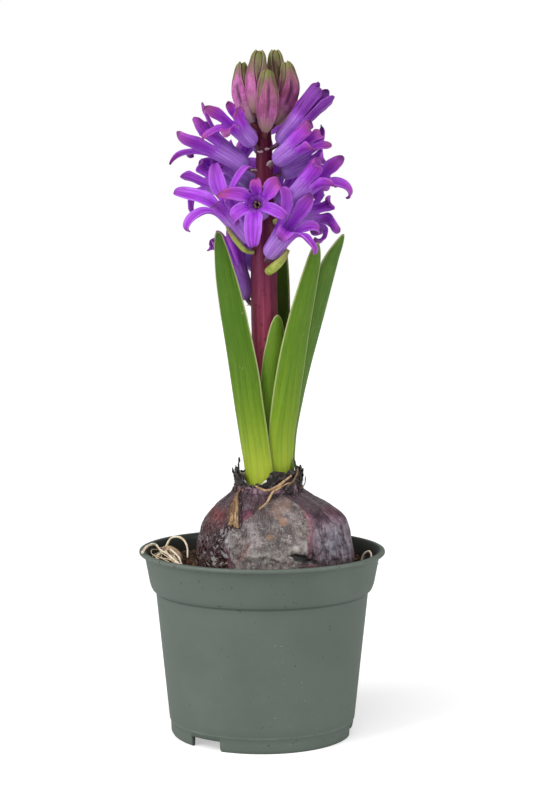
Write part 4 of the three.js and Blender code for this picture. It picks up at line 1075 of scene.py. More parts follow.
def dry_scale():
    f = Finish("dry_scale")
    place = f.place()
    tone = f.plus(f.value("tone"), f.times(f.minus(f.grain(place, 700, 4, 0.7), 0.5), 1.0))
    f.colour = f.ramp(tone, 0.08, 0.46, (0.0085, 0.007, 0.007), (0.060, 0.036, 0.032))
    # Grey flecks: painted highlights on the dark scales
    grey = f.between(f.grain(place, 420, 5, 0.72), 0.54, 0.66)
    f.coat((0.135, 0.115, 0.110), grey, 0.6)
    f.coat((0.21, 0.115, 0.050), f.between(tone, 0.42, 0.72))
    f.coat((0.58, 0.39, 0.215), f.between(tone, 0.70, 1.08))
    plum = f.ramp(f.grain(place, 520, 4, 0.7), 0.42, 0.58, (0.040, 0.014, 0.026), (0.270, 0.160, 0.205))
    f.coat(plum, f.value("foot"))
    lines = f.grain(f.stretched(place, (1, 1, 0.2)), 1600, 3, 0.6)
    return f.done(f.between(tone, 0.1, 0.5, 0.42, 0.66), f.bump(lines, 0.6, 0.0003),
                  Specular_IOR_Level=0.45)


def make_sheath(material):
    columns, rows = 200, 10
    points, edge = [], []
    for row in range(rows):
        up = row / (rows - 1)
        for i in range(columns):
            azimuth = 360 * i / columns - 180
            place = round_neck(azimuth, 11, 0)
            top = np.interp(azimuth, *zip(*SHEATH_TOPS)) + 0.5 * wander(place, 1.2, 5)
            radius = SHEATH_RADIUS + 0.12 * up + 0.25 * wander(place, 3, 6)
            points.append(round_neck(azimuth, radius, lerp(NECK_TOP - 1, top, up)))
            edge.append(up)
    sheet = Shape(points, grid_faces(rows, columns, closed=True), share=edge)
    return piece("pale_sheath", thick_sheet(sheet, 0.5), material, "sheath", "leaf_sheath")


def pale_sheath():
    f = Finish("pale_sheath")
    place = f.place()
    share = f.value("share")
    veined = f.grain(f.stretched(place, (1, 1, 0.15)), 900, 3)
    f.colour = f.ramp(veined, 0.35, 0.65, (0.44, 0.36, 0.33), (0.70, 0.66, 0.60))
    f.coat((0.78, 0.74, 0.68), f.between(share, 0.75, 1.0))
    return f.done(0.5, f.bump(veined, 0.3, 0.0002), **soft_tissue((1.0, 0.8, 0.6), 0.0012))


# Roots on the potting mix
ROOT_CLUMP = [(-36.5, 9, 66.4), (-33.5, 3.5, 66.6), (-30.6, -1.5, 65.4), (-29.4, -5, 61.6)]
ROOTS = [
    ([(-34.6, 5.5, 66.6), (-35.2, -3, 67.4), (-34, -10, 67.5), (-31, -20, 67), (-27.8, -29.6, 66.2)],
     0.52),
    ([(-43, -14.4, 69), (-41.6, -8.5, 70.2), (-39.2, -3.6, 70.2), (-37, -5.5, 68.4),
      (-33.8, -10.6, 67.5)], 0.5),
    ([(-36, 8, 66.6), (-34, 10, 70), (-31.2, 9, 70.8), (-28.9, 7, 69.8), (-27.6, 4, 67.6),
      (-27.4, 1, 64.4)], 0.48),
    ([(-35.2, -3, 67.4), (-38, -9, 66.8), (-37.2, -15.4, 66.2), (-33.4, -21.5, 66), (-29.4, -27, 65)],
     0.5),
    ([(-33.6, 3.4, 66.8), (-33, -6, 68.4), (-30, -13, 67), (-28.6, -19, 64.6)], 0.44),
]
FINE_ROOTS = [
    [(-38.6, 6, 66.6), (-40.4, -1, 67.6), (-39.8, -9, 67.4), (-37, -14, 66.6)],
    [(-36, 6, 67.4), (-37.6, -2, 68.4), (-36.4, -10, 68.2), (-33, -16, 67), (-31, -21, 65.8)],
    [(-32.6, 2, 66.4), (-31.4, -6, 67.4), (-31.6, -14, 67.4), (-29, -22, 66)],
    [(-40.2, -3, 66.4), (-38.8, -10, 67.2), (-35.8, -16.4, 67.2), (-32.4, -23.4, 66.8),
     (-29.6, -26.6, 65.6)],
    [(-35, 2, 66.8), (-36.6, -6, 66.6), (-35.4, -14, 66.4), (-32, -18, 65.4)],
    [(-34, 0, 66.8), (-31.6, -8, 66.4), (-31, -16, 65.6), (-30.4, -24, 64.8)],
    [(-37.2, 4, 66.2), (-39.4, -2, 66), (-40, -8, 65.4), (-38, -12, 64.6)],
    [(-33.4, -8, 67.2), (-29.8, -12, 65.6), (-27.6, -17, 64)],
    [(-36.4, -12, 66.4), (-33.6, -16, 66.8), (-30, -23.6, 66.4), (-26.4, -30.4, 64.6)],
]
RIGHT_ROOT = [(36.6, 7, 61), (37.6, 6.2, 64.6), (39.4, 4.4, 66.2), (40.2, 2, 65.2), (39.8, 0.2, 63.4)]


def root(path, radius, tone, count=60):
    line = spline(path, count)
    radii = [radius * (1 - 0.3 * i / count) * (1 + 0.16 * wander(p, 1.6, 2)) for i, p in enumerate(line)]
    return tube(line, radii, 10, tone=tone + 0.25 * np.array([wander(p, 3, 3) for p in line]))


def make_roots(material):
    clump = spline(ROOT_CLUMP, 50)
    girth = flow([(0, 0.9), (16, 1.5), (33, 1.3), (49, 0.7)], np.arange(50))
    ringed = girth * (1 + 0.09 * np.sin(np.arange(50) * 1.9))
    shapes = [tube(clump, ringed, 14, tone=np.full(50, 0.25))]
    shapes += [root(path, radius, 0.7) for path, radius in ROOTS]
    shapes += [root(path, 0.2, 0.45, 40) for path in FINE_ROOTS]
    piece("roots_left_side", joined(shapes), material, "root", "roots_left")
    piece("root_right_side", root(RIGHT_ROOT, 0.48, 0.8, 40), material, "root", "root_right")


def pale_root():
    f = Finish("pale_root")
    place = f.place()
    tone = f.plus(f.value("tone"), f.times(f.minus(f.grain(place, 500, 3), 0.5), 0.5))
    f.colour = f.ramp(tone, 0.1, 0.5, (0.26, 0.15, 0.085), (0.70, 0.55, 0.36))
    f.coat((0.92, 0.86, 0.72), f.between(tone, 0.5, 0.85))
    return f.done(0.55, f.bump(f.grain(place, 1500, 2), 0.3, 0.0002),
                  **soft_tissue((1.0, 0.7, 0.4), 0.001))


# Stem
STEM_ROWS = [  # height, centre x, radius
    (WELL_FLOOR + 0.4, 2.6, 4.4), (100, 2.4, 4.6), (116, 1.9, 4.7), (134, 1.3, 4.8), (150, 0.9, 4.85),
    (167, 0.6, 4.8), (180, 0.6, 4.4), (192, 0.7, 3.7), (204, 0.8, 3.15), (214, 0.7, 2.9), (221, 0.5, 2.5),
    (STEM_TOP, 0.5, 1.6),
]


def stem_centre(z):
    return np.array([float(flow(column(STEM_ROWS, 1), z)), 0.0, z])


def stem_radius(z):
    return float(flow(column(STEM_ROWS, 2), z))


def make_stem(material):
    sides, rows = 72, 150
    turns = full_turn(sides)
    rings, dir_x, dir_y = [], [], []
    for z in np.linspace(STEM_ROWS[0][0], STEM_TOP, rows):
        centre, radius = stem_centre(z), stem_radius(z)
        ring = []
        for t in turns:
            ridge = 0.025 * cos(3 * t) + 0.012 * cos(9 * t + 0.02 * z)
            r = radius * (1 + ridge) + 0.10 * wander((cos(t) * 5, sin(t) * 5, z / 5), 2.4)
            ring.append(centre + (r * cos(t), r * sin(t), 0))
            dir_x.append(cos(t))
            dir_y.append(sin(t))
        rings.append(ring)
    body = loft(rings, stem_centre(STEM_ROWS[0][0]), stem_centre(STEM_TOP) + (0, 0, 0.6),
                dir_x=np.array(dir_x), dir_y=np.array(dir_y))
    return piece("flower_stalk", body, material, "stem", "stem")


def fleshy_stem():
    f = Finish("fleshy_stem")
    height = f.axis(2)
    around = f.combined(f.value("dir_x"), f.value("dir_y"), f.times(height, 8))
    lines = f.grain(around, 6, 4, 0.6)
    fine = f.grain(around, 22, 3, 0.6)
    freckles = f.between(f.grain(f.stretched(f.place(), (1, 1, 0.5)), 900, 2), 0.6, 0.68)
    low = f.ramp(lines, 0.35, 0.65, (0.440, 0.060, 0.120), (0.620, 0.130, 0.190))
    middle = f.ramp(lines, 0.35, 0.65, (0.122, 0.011, 0.046), (0.195, 0.026, 0.076))
    high = f.ramp(lines, 0.3, 0.7, (0.082, 0.003, 0.022), (0.148, 0.008, 0.038))
    # Rosy low down and darker upwards: the stalk's own colour, deepened by painted shade among the florets
    f.colour = f.ramp(height, 0.128, 0.174, low, middle)
    f.coat(high, f.between(height, 0.175, 0.205))
    green = f.between(height, 0.096, 0.112, 1.0, 0.0)
    f.coat((0.23, 0.24, 0.06), green, 0.5)
    f.coat((0.060, 0.014, 0.030), freckles, 0.45)
    return f.done(f.between(fine, 0.3, 0.7, 0.42, 0.56), f.bump(fine, 0.25, 0.0003),
                  Specular_IOR_Level=0.25, **soft_tissue((1.0, 0.3, 0.3), 0.0016))


# Small curled bracts where the stalks of the florets leave the stem
STEM_BRACTS = [  # azimuth, height, length, width, droop
    (-16, 222.5, 3.2, 1.8, 60), (-22, 211.5, 3.4, 2.0, 75), (20, 212.5, 2.8, 1.8, 60),
    (30, 207, 4.2, 1.8, 35), (-64, 205, 3.0, 1.8, 70), (4, 199, 2.8, 1.9, 75), (-80, 193, 3.0, 1.9, 65),
    (64, 189.2, 3.2, 1.9, 60), (-30, 187, 3.0, 1.8, 60), (104, 183, 3.0, 1.9, 60),
    (-140, 197, 3.2, 1.9, 60), (170, 189, 3.2, 1.9, 60), (-165, 208, 3.0, 1.8, 60),
    (140, 203, 3.0, 1.8, 60), (-170, 167.5, 3.2, 1.9, 60), (-118, 156, 3.2, 1.9, 60),
]


def curled_bract(azimuth, height, length, width, droop):
    out = outward(azimuth)
    side = np.cross((0, 0, 1), out)
    start = stem_centre(height) + out * (stem_radius(height) - 0.35)
    rows, columns = 14, 9
    points, share = [], []
    spot, lean = start, radians(35)
    for row in range(rows):
        s = row / (rows - 1)
        for u in np.linspace(-1, 1, columns):
            half = width / 2 * sqrt(max(1 - s**2.6, 0.03)) * lerp(0.75, 1, smooth(s / 0.4))
            cup = 0.35 * half * u * u
            normal = out * cos(lean) - np.array((0, 0, 1)) * sin(lean)
            points.append(spot + side * half * u - normal * cup)
            share.append(s)
        lean += radians(droop + 40 * s) / rows
        spot = spot + (out * sin(lean) + np.array((0, 0, 1)) * cos(lean)) * length / rows
    return thick_sheet(Shape(points, grid_faces(rows, columns), share=share), 0.16)


def make_stem_bracts(material):
    shapes = [curled_bract(*row) for row in STEM_BRACTS]
    return piece("stalk_bracts", joined(shapes), material, "stem")


def papery_bract():
    f = Finish("papery_bract")
    place = f.place()
    share = f.value("share")
    f.colour = f.ramp(share, 0.05, 0.5, (0.24, 0.075, 0.105), (0.62, 0.48, 0.47))
    f.coat((0.72, 0.66, 0.56), f.between(f.grain(place, 900, 3), 0.45, 0.7))
    return f.done(0.5, f.bump(f.grain(place, 1800, 2), 0.2, 0.0001),
                  **soft_tissue((1.0, 0.7, 0.6), 0.001))


# Leaves
LEAF_ROWS = {  # height, middle x, middle y, width, half arc of the channel, azimuth that the back faces
    "front_left": [
        (84.4, -1.8, -6.4, 9.4, 50, -38), (92, -2.3, -6.9, 11.2, 46, -38),
        (98, -2.7, -7.3, 12.4, 44, -37), (108, -3.9, -7.8, 12.4, 40, -34),
        (122, -5.7, -8.3, 12.0, 35, -30), (134, -7.2, -8.2, 11.6, 32, -26),
        (145, -9.0, -8.4, 10.8, 30, -24), (156, -11.0, -8.5, 9.8, 30, -22),
        (166, -12.9, -8.6, 8.3, 30, -22), (175, -14.4, -8.6, 5.9, 28, -22),
        (181, -15.3, -8.6, 3.6, 24, -22), (183, -15.5, -8.6, 2.3, 22, -22),
        (183.9, -15.6, -8.6, 0.7, 20, -22),
    ],
    "front_right": [
        (84.4, 7.6, -5.3, 6.0, 34, 42), (92, 7.8, -5.7, 7.2, 34, 40), (98, 7.6, -6.2, 8.4, 32, 34),
        (108, 7.5, -6.9, 10.2, 30, 28), (122, 9.1, -7.7, 11.0, 30, 26), (134, 10.7, -8.1, 10.8, 30, 26),
        (145, 12.5, -8.4, 10.0, 30, 26), (156, 14.7, -8.8, 8.8, 30, 26), (166, 16.9, -9.2, 7.2, 28, 26),
        (173, 18.5, -9.4, 5.7, 26, 26), (177.5, 19.3, -9.5, 3.7, 24, 26),
        (179.1, 19.6, -9.5, 2.1, 22, 26), (179.9, 19.7, -9.5, 0.7, 20, 26),
    ],
    "back_right": [
        (84.4, 10.8, 2.2, 6.4, 34, 100), (92, 11.0, 2.2, 7.4, 32, 98), (98, 11.2, 2.2, 8.6, 32, 92),
        (108, 11.6, 1.0, 10.8, 30, 80), (122, 13.4, 0.4, 11.6, 30, 66), (134, 15.2, 0.0, 11.8, 30, 54),
        (146, 17.6, -0.4, 11.6, 30, 46), (156, 20.0, -0.8, 11.0, 30, 42), (166, 22.8, -1.2, 9.6, 30, 40),
        (174, 25.4, -1.6, 7.4, 28, 40), (179.5, 27.8, -1.9, 4.4, 24, 40),
        (182.0, 28.9, -2.0, 2.2, 22, 40), (182.9, 29.3, -2.0, 0.7, 20, 40),
    ],
    "inner_front": [
        (84.4, 3.2, -5.6, 4.4, 30, 4), (94, 3.2, -5.7, 5.0, 30, 4), (103, 3.4, -5.9, 6.6, 30, 4),
        (115, 3.4, -6.2, 7.8, 30, 6), (128, 3.6, -6.4, 8.2, 28, 8), (138, 4.3, -6.6, 7.8, 28, 10),
        (145, 5.0, -6.7, 6.4, 26, 10), (150.5, 5.4, -6.8, 4.4, 24, 10), (153.2, 5.5, -6.8, 2.2, 22, 10),
        (154.0, 5.5, -6.8, 0.7, 20, 10),
    ],
    "back": [
        (84.4, 1.6, 6.6, 8.2, 44, 186), (98, 2.0, 6.8, 9.8, 42, 184), (115, 3.2, 7.2, 10.6, 36, 180),
        (134, 4.6, 7.8, 10.8, 32, 176), (150, 5.2, 8.2, 10.2, 30, 174), (164, 5.6, 8.6, 9.0, 30, 174),
        (176, 6.0, 9.0, 6.6, 28, 174), (183, 6.4, 9.2, 3.6, 24, 174), (186.5, 6.7, 9.3, 1.0, 20, 174),
    ],
}


def make_leaf(name, material, blue, light):
    rows = LEAF_ROWS[name]
    columns, count = 33, 110
    low, high = rows[0][0], rows[-1][0]
    points, thickness, share, across_values, rim = [], [], [], [], []
    for row in range(count):
        up = row / (count - 1)
        # Closer rows near the tip
        z = lerp(low, high, 1 - (1 - up) ** 1.25)
        x, y, width, half_arc, azimuth = (float(flow(column(rows, k), z)) for k in range(1, 6))
        back = outward(azimuth)
        side = np.cross((0, 0, 1), back)
        arc = radians(half_arc)
        radius = width / 2 / sin(arc)
        for u in np.linspace(-1, 1, columns):
            wave = 0.22 * u * u * wander((u, z, 0), 12, len(name))
            ribs = 0.045 * cos(u * 11 * pi) * smooth((width - 4) / 8)
            angle = arc * u
            spot = np.array((x, y, z)) + side * radius * sin(angle)
            spot = spot + back * (radius * (cos(angle) - 1) + wave + ribs)
            points.append(spot)
            thin = min(1, width / 5)
            thickness.append(max(0.34, LEAF_THICKNESS * thin * (1 - 0.62 * abs(u) ** 2.6)))
            share.append((z - NECK_TOP) / (high - NECK_TOP))
            across_values.append(u * width / 12)
            rim.append(1 - min((1 - abs(u)) * width / 2, (high - z) * 0.7) / 0.8)
    sheet = Shape(points, grid_faces(count, columns), share=share, across=across_values,
                  rim=np.maximum(rim, 0), blue=blue, light=light)
    return piece(name + "_leaf_blade", thick_sheet(sheet, thickness), material, "leaf", "leaf_" + name)


def leaf_green():
    f = Finish("leaf_green")
    place = f.place()
    share, across, rim, back = f.value("share"), f.value("across"), f.value("rim"), f.value("back")
    along = f.combined(across, f.times(share, 0.30), f.value("blue"))
    broad = f.grain(along, 6, 2, 0.5)
    veins = f.grain(along, 30, 3, 0.6)
    fine = f.grain(along, 95, 2, 0.5)
    cloudy = f.grain(place, 60, 4, 0.6)
    patchy = f.plus(share, f.times(f.minus(broad, 0.5), 0.25))
    f.colour = f.ramp(patchy, 0.0, 0.36, (0.430, 0.510, 0.040), (0.190, 0.320, 0.012))
    f.coat((0.086, 0.196, 0.007), f.between(patchy, 0.26, 0.66))
    f.coat((0.062, 0.150, 0.006), f.between(patchy, 0.66, 1.0))
    f.coat((0.066, 0.155, 0.014), f.value("blue"), 0.8)
    shade = f.times(f.between(broad, 0.42, 0.66), f.between(share, 0.1, 0.5, 0.1, 0.5))
    f.coat((0.046, 0.120, 0.004), shade)
    f.coat((0.20, 0.33, 0.045), f.between(veins, 0.46, 0.70, 0.0, 0.5))
    dark = f.times(f.between(fine, 0.50, 0.70), f.between(share, 0.05, 0.45, 0.12, 0.45))
    f.coat((0.036, 0.098, 0.006), dark)
    f.coat((0.17, 0.28, 0.030), f.between(cloudy, 0.48, 0.75, 0.0, 0.3))
    f.coat((0.11, 0.20, 0.030), back, 0.2)
    # Blades on the right are painted a lighter, yellower green as painted light, and the one on the left a
    # deeper one as painted shade
    f.coat((0.22, 0.38, 0.020), f.value("light"), 0.30)
    deep = f.times(f.times(f.value("light"), -0.5), f.between(share, 0.05, 0.5))
    f.coat((0.040, 0.120, 0.001), deep)
    rim = f.times(f.between(rim, 0.25, 0.8, 0.0, 0.85), f.between(share, 0.1, 0.5, 0.3, 1.0))
    f.coat((0.46, 0.48, 0.22), rim)
    f.coat((0.20, 0.17, 0.055), f.between(share, 0.985, 1.0, 0, 0.4))
    specks = f.between(f.grain(place, 520, 2, 0.5), 0.71, 0.76)
    f.coat((0.30, 0.34, 0.14), specks, 0.35)
    relief = f.plus(f.times(broad, 2.0), f.plus(veins, f.times(fine, 0.6)))
    return f.done(f.between(cloudy, 0.3, 0.7, 0.38, 0.5), f.bump(relief, 0.35, 0.00035),
                  Specular_IOR_Level=0.22, **soft_tissue((0.5, 1.0, 0.15), 0.0010))


# Florets: a swollen tube that opens into six lobes, which curl back
TUBE_OUTLINE = [  # share of the tube's length, radius
    (0, 0.7), (0.03, 1.6), (0.1, 2.5), (0.25, 3.12), (0.42, 3.25), (0.7, 3.38), (1, 3.7),
]
LOBE_CLEARANCE = 0.25
CHANNEL = 0.38
SECTOR_COLUMNS = 14


def lobe_width(s):
    if s < 0.45:
        return lerp(0.8, 1, smooth(s / 0.45))
    return sqrt(max(1 - ((s - 0.45) / 0.554) ** 2.4, 0))


def lobe_line(length, reflex, curl, hook):
    """A lobe's middle line: distance out from the mouth, height above it, angle from the tube's axis."""
    steps = 100
    line = []
    out, up = 0.0, 0.0
    for step in range(steps + 1):
        s = step / steps
        bend = reflex * smooth(s / 0.6) + curl * smooth((s - 0.5) / 0.5) + hook * smooth((s - 0.8) / 0.2)
        angle = radians(TUBE_FLARE + bend)
        line.append((s, out, up, angle))
        out += length / steps * sin(angle)
        up += length / steps * cos(angle)
    return np.array(line)


def floret_shell(axis, up, base, tube_length, size, lobes, flush, seed):
    side = np.cross(axis, up)

    def place(radial, tangential, height, turn):
        along = cos(turn) * up + sin(turn) * side
        across = -sin(turn) * up + cos(turn) * side
        return base + axis * height + along * radial + across * tangential

    around = 6 * SECTOR_COLUMNS
    tube_rows = 18
    points, faces, thickness = [], [], []
    reach, across_values, lobe_values, margin, pink = [], [], [], [], []

    def note(point, thick, far, across, lobe, edge, flushed=0.0):
        points.append(point)
        thickness.append(thick)
        reach.append(far)
        across_values.append(across)
        lobe_values.append(lobe)
        margin.append(edge)
        pink.append(flushed)

    def rib(turn, amount):
        return 1 + amount * cos(6 * (turn - radians(30)))

    for row in range(tube_rows):
        t = (row / (tube_rows - 1)) ** 1.3
        radius = float(flow(TUBE_OUTLINE, t)) * size
        for i in range(around):
            turn = 2 * pi * i / around
            amount = 0.035 * smooth((t - 0.05) / 0.3)
            across = 2 * (i % SECTOR_COLUMNS) / SECTOR_COLUMNS - 1
            note(place(radius * rib(turn, amount), 0, t * tube_length, turn), lerp(0.7, 0.95, t), t,
                 across, (i // SECTOR_COLUMNS + seed * 0.37) % 1, 0)
    faces += grid_faces(tube_rows, around, closed=True)
    mouth_start = (tube_rows - 1) * around
    mouth = TUBE_OUTLINE[-1][1] * size
    sixth = tan(pi / 6)
    lobe_rows = 30
    for lobe, (reflex, curl, sway, length_share, *own) in enumerate(lobes):
        flushed, breadth = own or (flush, 1)
        middle = radians(30 + 60 * lobe)
        length = LOBE_LENGTH * size * length_share
        hook = (55 if reflex + curl > 45 else -35) * (0.7 + 0.6 * sin(seed * 5.3 + lobe * 1.9))
        line = lobe_line(length, reflex, curl, hook)
        previous = [mouth_start + (lobe * SECTOR_COLUMNS + i) % around for i in range(SECTOR_COLUMNS + 1)]
        twist = 0.6 * sin(seed * 3.1 + lobe * 2.2)
        for row in range(1, lobe_rows + 1):
            s = 1 - (1 - row / lobe_rows) ** 1.35
            out, rise, angle = (float(np.interp(s, line[:, 0], line[:, k])) for k in (1, 2, 3))
            radial = mouth + out
            room = (radial * sixth - LOBE_CLEARANCE) / (1 + CHANNEL * cos(angle) * sixth)
            uneven = breadth * (1 + 0.10 * wander((s * 4, lobe * 3, 0), 1, seed))
            half = max(min(LOBE_MAX_WIDTH * size * lobe_width(s) * uneven / 2, room), 0.28)
            free = smooth(s / 0.2)
            current = []
            for i in range(SECTOR_COLUMNS + 1):
                u = 2 * i / SECTOR_COLUMNS - 1
                folded = CHANNEL * half * abs(u) ** 2.2
                keel = 0.18 * size * bell(u, 0.16) * smooth(s / 0.3) * (1 - 0.6 * s)
                flutter = 0.62 * smooth((s - 0.15) / 0.4) * abs(u)
                flutter *= wander((u * 1.6, s * 3.6, lobe), 1, seed)
                lift = -folded + keel + flutter + 0.42 * u * twist * half * s
                turn = radians(30 * u)
                closed = np.array((radial * cos(turn) * rib(middle + turn, 0.035 * (1 - free)),
                                   radial * sin(turn), rise))
                opened = np.array((radial + lift * cos(angle), half * u + sway * length * s * s,
                                   rise - lift * sin(angle)))
                spot = lerp(closed, opened, free)
                current.append(len(points))
                edge = abs(u) ** 3 * free
                thick = lerp(0.95, 0.62, smooth(s / 0.5)) * (1 - 0.5 * edge)
                thick *= 1 - 0.35 * smooth((s - 0.8) / 0.2)
                note(place(spot[0], spot[1], tube_length + spot[2], middle), thick, 1 + s, u,
                     (lobe * 0.29 + seed * 0.37) % 1, edge, flushed)
            for i in range(SECTOR_COLUMNS):
                faces.append((previous[i], previous[i + 1], current[i + 1], current[i]))
            previous = current
    sheet = Shape(points, faces, reach=reach, across=across_values, lobe=lobe_values,
                  margin=margin, pink=pink)
    # A fleshy throat narrows the mouth from within.
    throat = [(0.6 * size, -3.4, 0.55), (0.95 * size, -2.2, 0.7), (1.5 * size, -1.1, 0.92),
              (2.4 * size, -0.2, 1.12), (mouth - 0.25, 0.45, 1.24)]
    inner = []
    for r, z, _ in throat:
        for i in range(around):
            turn = 2 * pi * i / around
            inner.append(place(r * rib(turn, 0.05), 0, tube_length + z, turn))
    depth = np.repeat([far for _, _, far in throat], around)
    sectors = np.tile([2 * (i % SECTOR_COLUMNS) / SECTOR_COLUMNS - 1 for i in range(around)], len(throat))
    # deep: how strongly the finish paints the throat dark as shade
    funnel = Shape(inner, grid_faces(len(throat), around, closed=True), reach=depth, across=sectors,
                   lobe=0.5, margin=0, deep=np.repeat([1.0, 1.0, 0.85, 0.4, 0.1], around))
    return joined([thick_sheet(sheet, thickness), thick_sheet(funnel, 0.3)])


def bent_path(start, knee, end, count):
    t = np.linspace(0, 1, count)[:, None]
    return (1 - t) ** 2 * start + 2 * t * (1 - t) * knee + t**2 * end


OPEN = (75, 45, 0, 1)
# Each floret: azimuth and height of its base, distance of the base from the stem's axis; azimuth and angle
# above the horizon that it aims at; roll round its own axis; tube length; size; tint of its tips, from
# violet (0) to pink (1), or darker lobes (below 0); greenness of its tips; six lobes. Each lobe: degrees
# that it bends back, degrees that its tip curls on, sideways sway, share of the full length, and where it
# differs, its own tint and breadth.
FLORETS = {
    "upper_left": ((-56, 215.2, 4.4), (-50, 40), 0, 8.8, 0.88, 0.8, 0.35, [
        (0, 0, -0.1, 0.65), (8, 5, 0.1, 0.95), (62, 5, 0, 0.95), (40, 60, 0, 0.75), (8, 20, 0, 0.7),
        (24, -50, -0.1, 0.5)]),
    "upper_right": ((72, 215.4, 5.6), (72, 48), 0, 12, 0.92, -0.8, 0.1, [
        (-12, 0, 0, 0.95), (-8, 6, 0, 0.95), (0, 0, 0, 1.02), (-6, 0, 0, 0.9), (-4, 8, 0, 0.95),
        (-12, 4, 0, 0.95)]),
    "middle_left": ((-84, 206.8, 6), (-89, 33), 30, 12.5, 1, 0.5, 0.1, [
        (0, 150, 0, 0.8), (50, 40, 0, 1), (30, 40, 0, 1.1), (24, -65, 0, 1.1), (12, 0, 0, 0.9),
        (20, 5, 0, 1)]),
    "middle_right": ((52, 208.6, 5.2), (54, 33), 0, 10.5, 0.95, 0.7, 0.3, [
        (-12, 10, 0, 0.58), (-4, 40, 0, 0.9), (25, 20, 0, 0.7), (18, 0, 0, 0.78), (-5, 60, 0, 0.62),
        (0, 30, 0, 0.6)]),
    "lower_left": ((-100, 195.6, 7.2), (-99, 29), 30, 12.5, 1, 0.2, 0.05, [
        (70, 70, 0, 0.75), (75, 60, 0, 0.85), (88, 25, 0, 0.85), (0, 30, 0, 0.75), (6, 90, 0, 0.6),
        (100, 60, 0, 0.33)]),
    "front_left": ((-46, 180.4, 6.8), (-54, 48), 8, 14, 1, 0.15, 0.1, [
        (38, 10, 0, 1.15), (58, -5, 0, 1.42), (70, 40, 0, 1.1), (10, 30, 0, 0.6), (10, 20, 0, 0.5),
        (50, 10, -0.15, 1.1)]),
    "front": ((-8, 190.2, 6.6), (-8, 17), -30, 11.5, 1, 0.15, 0.05, [
        (15, 84, 0.0, 0.48, 0.9, 0.8), (64, 14, 0.46, 0.74, 1.0, 0.9), (66, 140, 0.25, 0.72, 0.2, 0.85),
        (80, 16, 0, 1.1, 0.05, 1.08), (70, 66, 0.05, 0.76, 0.1, 0.7), (50, 40, 0.2, 0.62, 0.8, 1.15)]),
    "lower_right": ((64, 192, 8), (64, 43), 0, 13, 1, 0.45, 0.1, [
        (-8, 20, 0, 0.55), (12, 70, 0, 0.85), (35, 15, 0, 0.8), (50, 70, 0, 1.05), (5, 10, 0, 0.95),
        (0, 20, 0, 0.55)]),
    "front_right": ((16, 175, 6.2), (50, 48), -30, 11, 1, 0.3, 0.1, [
        (22, 35, 0, 1), (18, 20, 0, 0.8), (60, 120, 0, 0.7), (75, 15, 0, 0.95), (35, 70, 0, 0.75),
        (5, 0, 0, 1)]),
    "back_right": ((106, 187, 7), (106, 14), -30, 11.5, 1, 0.3, 0.1, [
        (70, 60, 0, 0.75), (0, 160, 0, 0.6), (95, -60, 0, 0.86), (100, 110, 0, 0.7), (80, 50, 0, 0.9),
        (50, 60, 0, 0.8)]),
    "low_back_left": ((-116, 159.4, 6.8), (-116, 68), 0, 12, 0.95, 0.5, 0.2, [
        (-8, 5, 0, 1), (-6, 8, 0, 1), (0, 10, 0, 0.8), (-9, 6, 0, 0.88), (-9, 8, 0, 1), (-8, 5, 0, 1)]),
    "back_left": ((-146, 201, 7.2), (-150, 24), 0, 12, 1, 0.2, 0.05, [
        (84, 80, 0, 0.68), OPEN, (80, 50, 0, 1), (80, 80, 0, 0.8), OPEN, (70, 90, 0, 0.75)]),
    "back_upper_right": ((110, 204.6, 6.4), (112, 24), 0, 11, 0.95, 0.3, 0.1, [
        (42, 10, 0, 0.85), (88, 70, 0, 0.75), (95, 40, 0, 0.85), (95, 40, 0, 0.8), (80, 40, 0, 0.9),
        (50, 20, 0, 0.8)]),
    "back_top": ((-172, 213, 5.4), (-172, 32), 0, 11, 0.9, 0.4, 0.2, [
        (40, 20, 0, 1), (60, 30, 0, 1), (50, 30, 0, 0.85), (50, 30, 0, 0.85), (60, 30, 0, 1),
        (40, 20, 0, 1)]),
    "back": ((158, 191.8, 7), (157, 24), 0, 12, 1, 0.2, 0.05, [
        (70, 40, 0, 1), OPEN, (85, 50, 0, 1), (85, 60, 0, 0.9), OPEN, (70, 40, 0, 1)]),
    "back_low": ((-160, 170.8, 7.2), (-164, 28), 0, 12, 1, 0.2, 0.05, [
        (60, 40, 0, 1), OPEN, (80, 50, 0, 1), (80, 50, 0, 1), OPEN, (60, 40, 0, 1)]),
}


def floret_frame(floret):
    """Where a floret's base is, the way that it aims and the way that its top faces."""
    (azimuth, height, distance), (aim, rise), roll = floret[:3]
    base = stem_centre(height) + outward(azimuth) * distance
    axis = outward(aim) * cos(radians(rise)) + np.array((0, 0, sin(radians(rise))))
    up = unit(np.array((0, 0, 1)) - axis * axis[2])
    turn = radians(roll)
    return base, axis, up * cos(turn) + np.cross(axis, up) * sin(turn)


def make_floret(name, material, seed):
    floret = FLORETS[name]
    (azimuth, height, _), _, _, tube_length, size, pink, green, lobes = floret
    base, axis, up = floret_frame(floret)
    shell = floret_shell(axis, up, base, tube_length, size, lobes, pink, seed)
    shell.values["green"] = np.full(len(shell.points), green)
    start = stem_centre(height - 1.6) + outward(azimuth) * (stem_radius(height - 1.6) - 0.6)
    path = bent_path(start, base - axis * 2.4, base + axis * 0.6, 16)
    swell = [1.25, 1.05, 0.92, 0.9, 0.95, 1.1]
    radii = np.interp(np.linspace(0, 1, 16), np.linspace(0, 1, 6), swell) * size
    stalk = tube(path, radii, 18, reach=np.linspace(-0.35, 0, 16), across=np.zeros(16),
                 lobe=np.full(16, 0.5))
    return piece(name + "_bloom", joined([shell, stalk]), material, "petal", "floret_" + name)


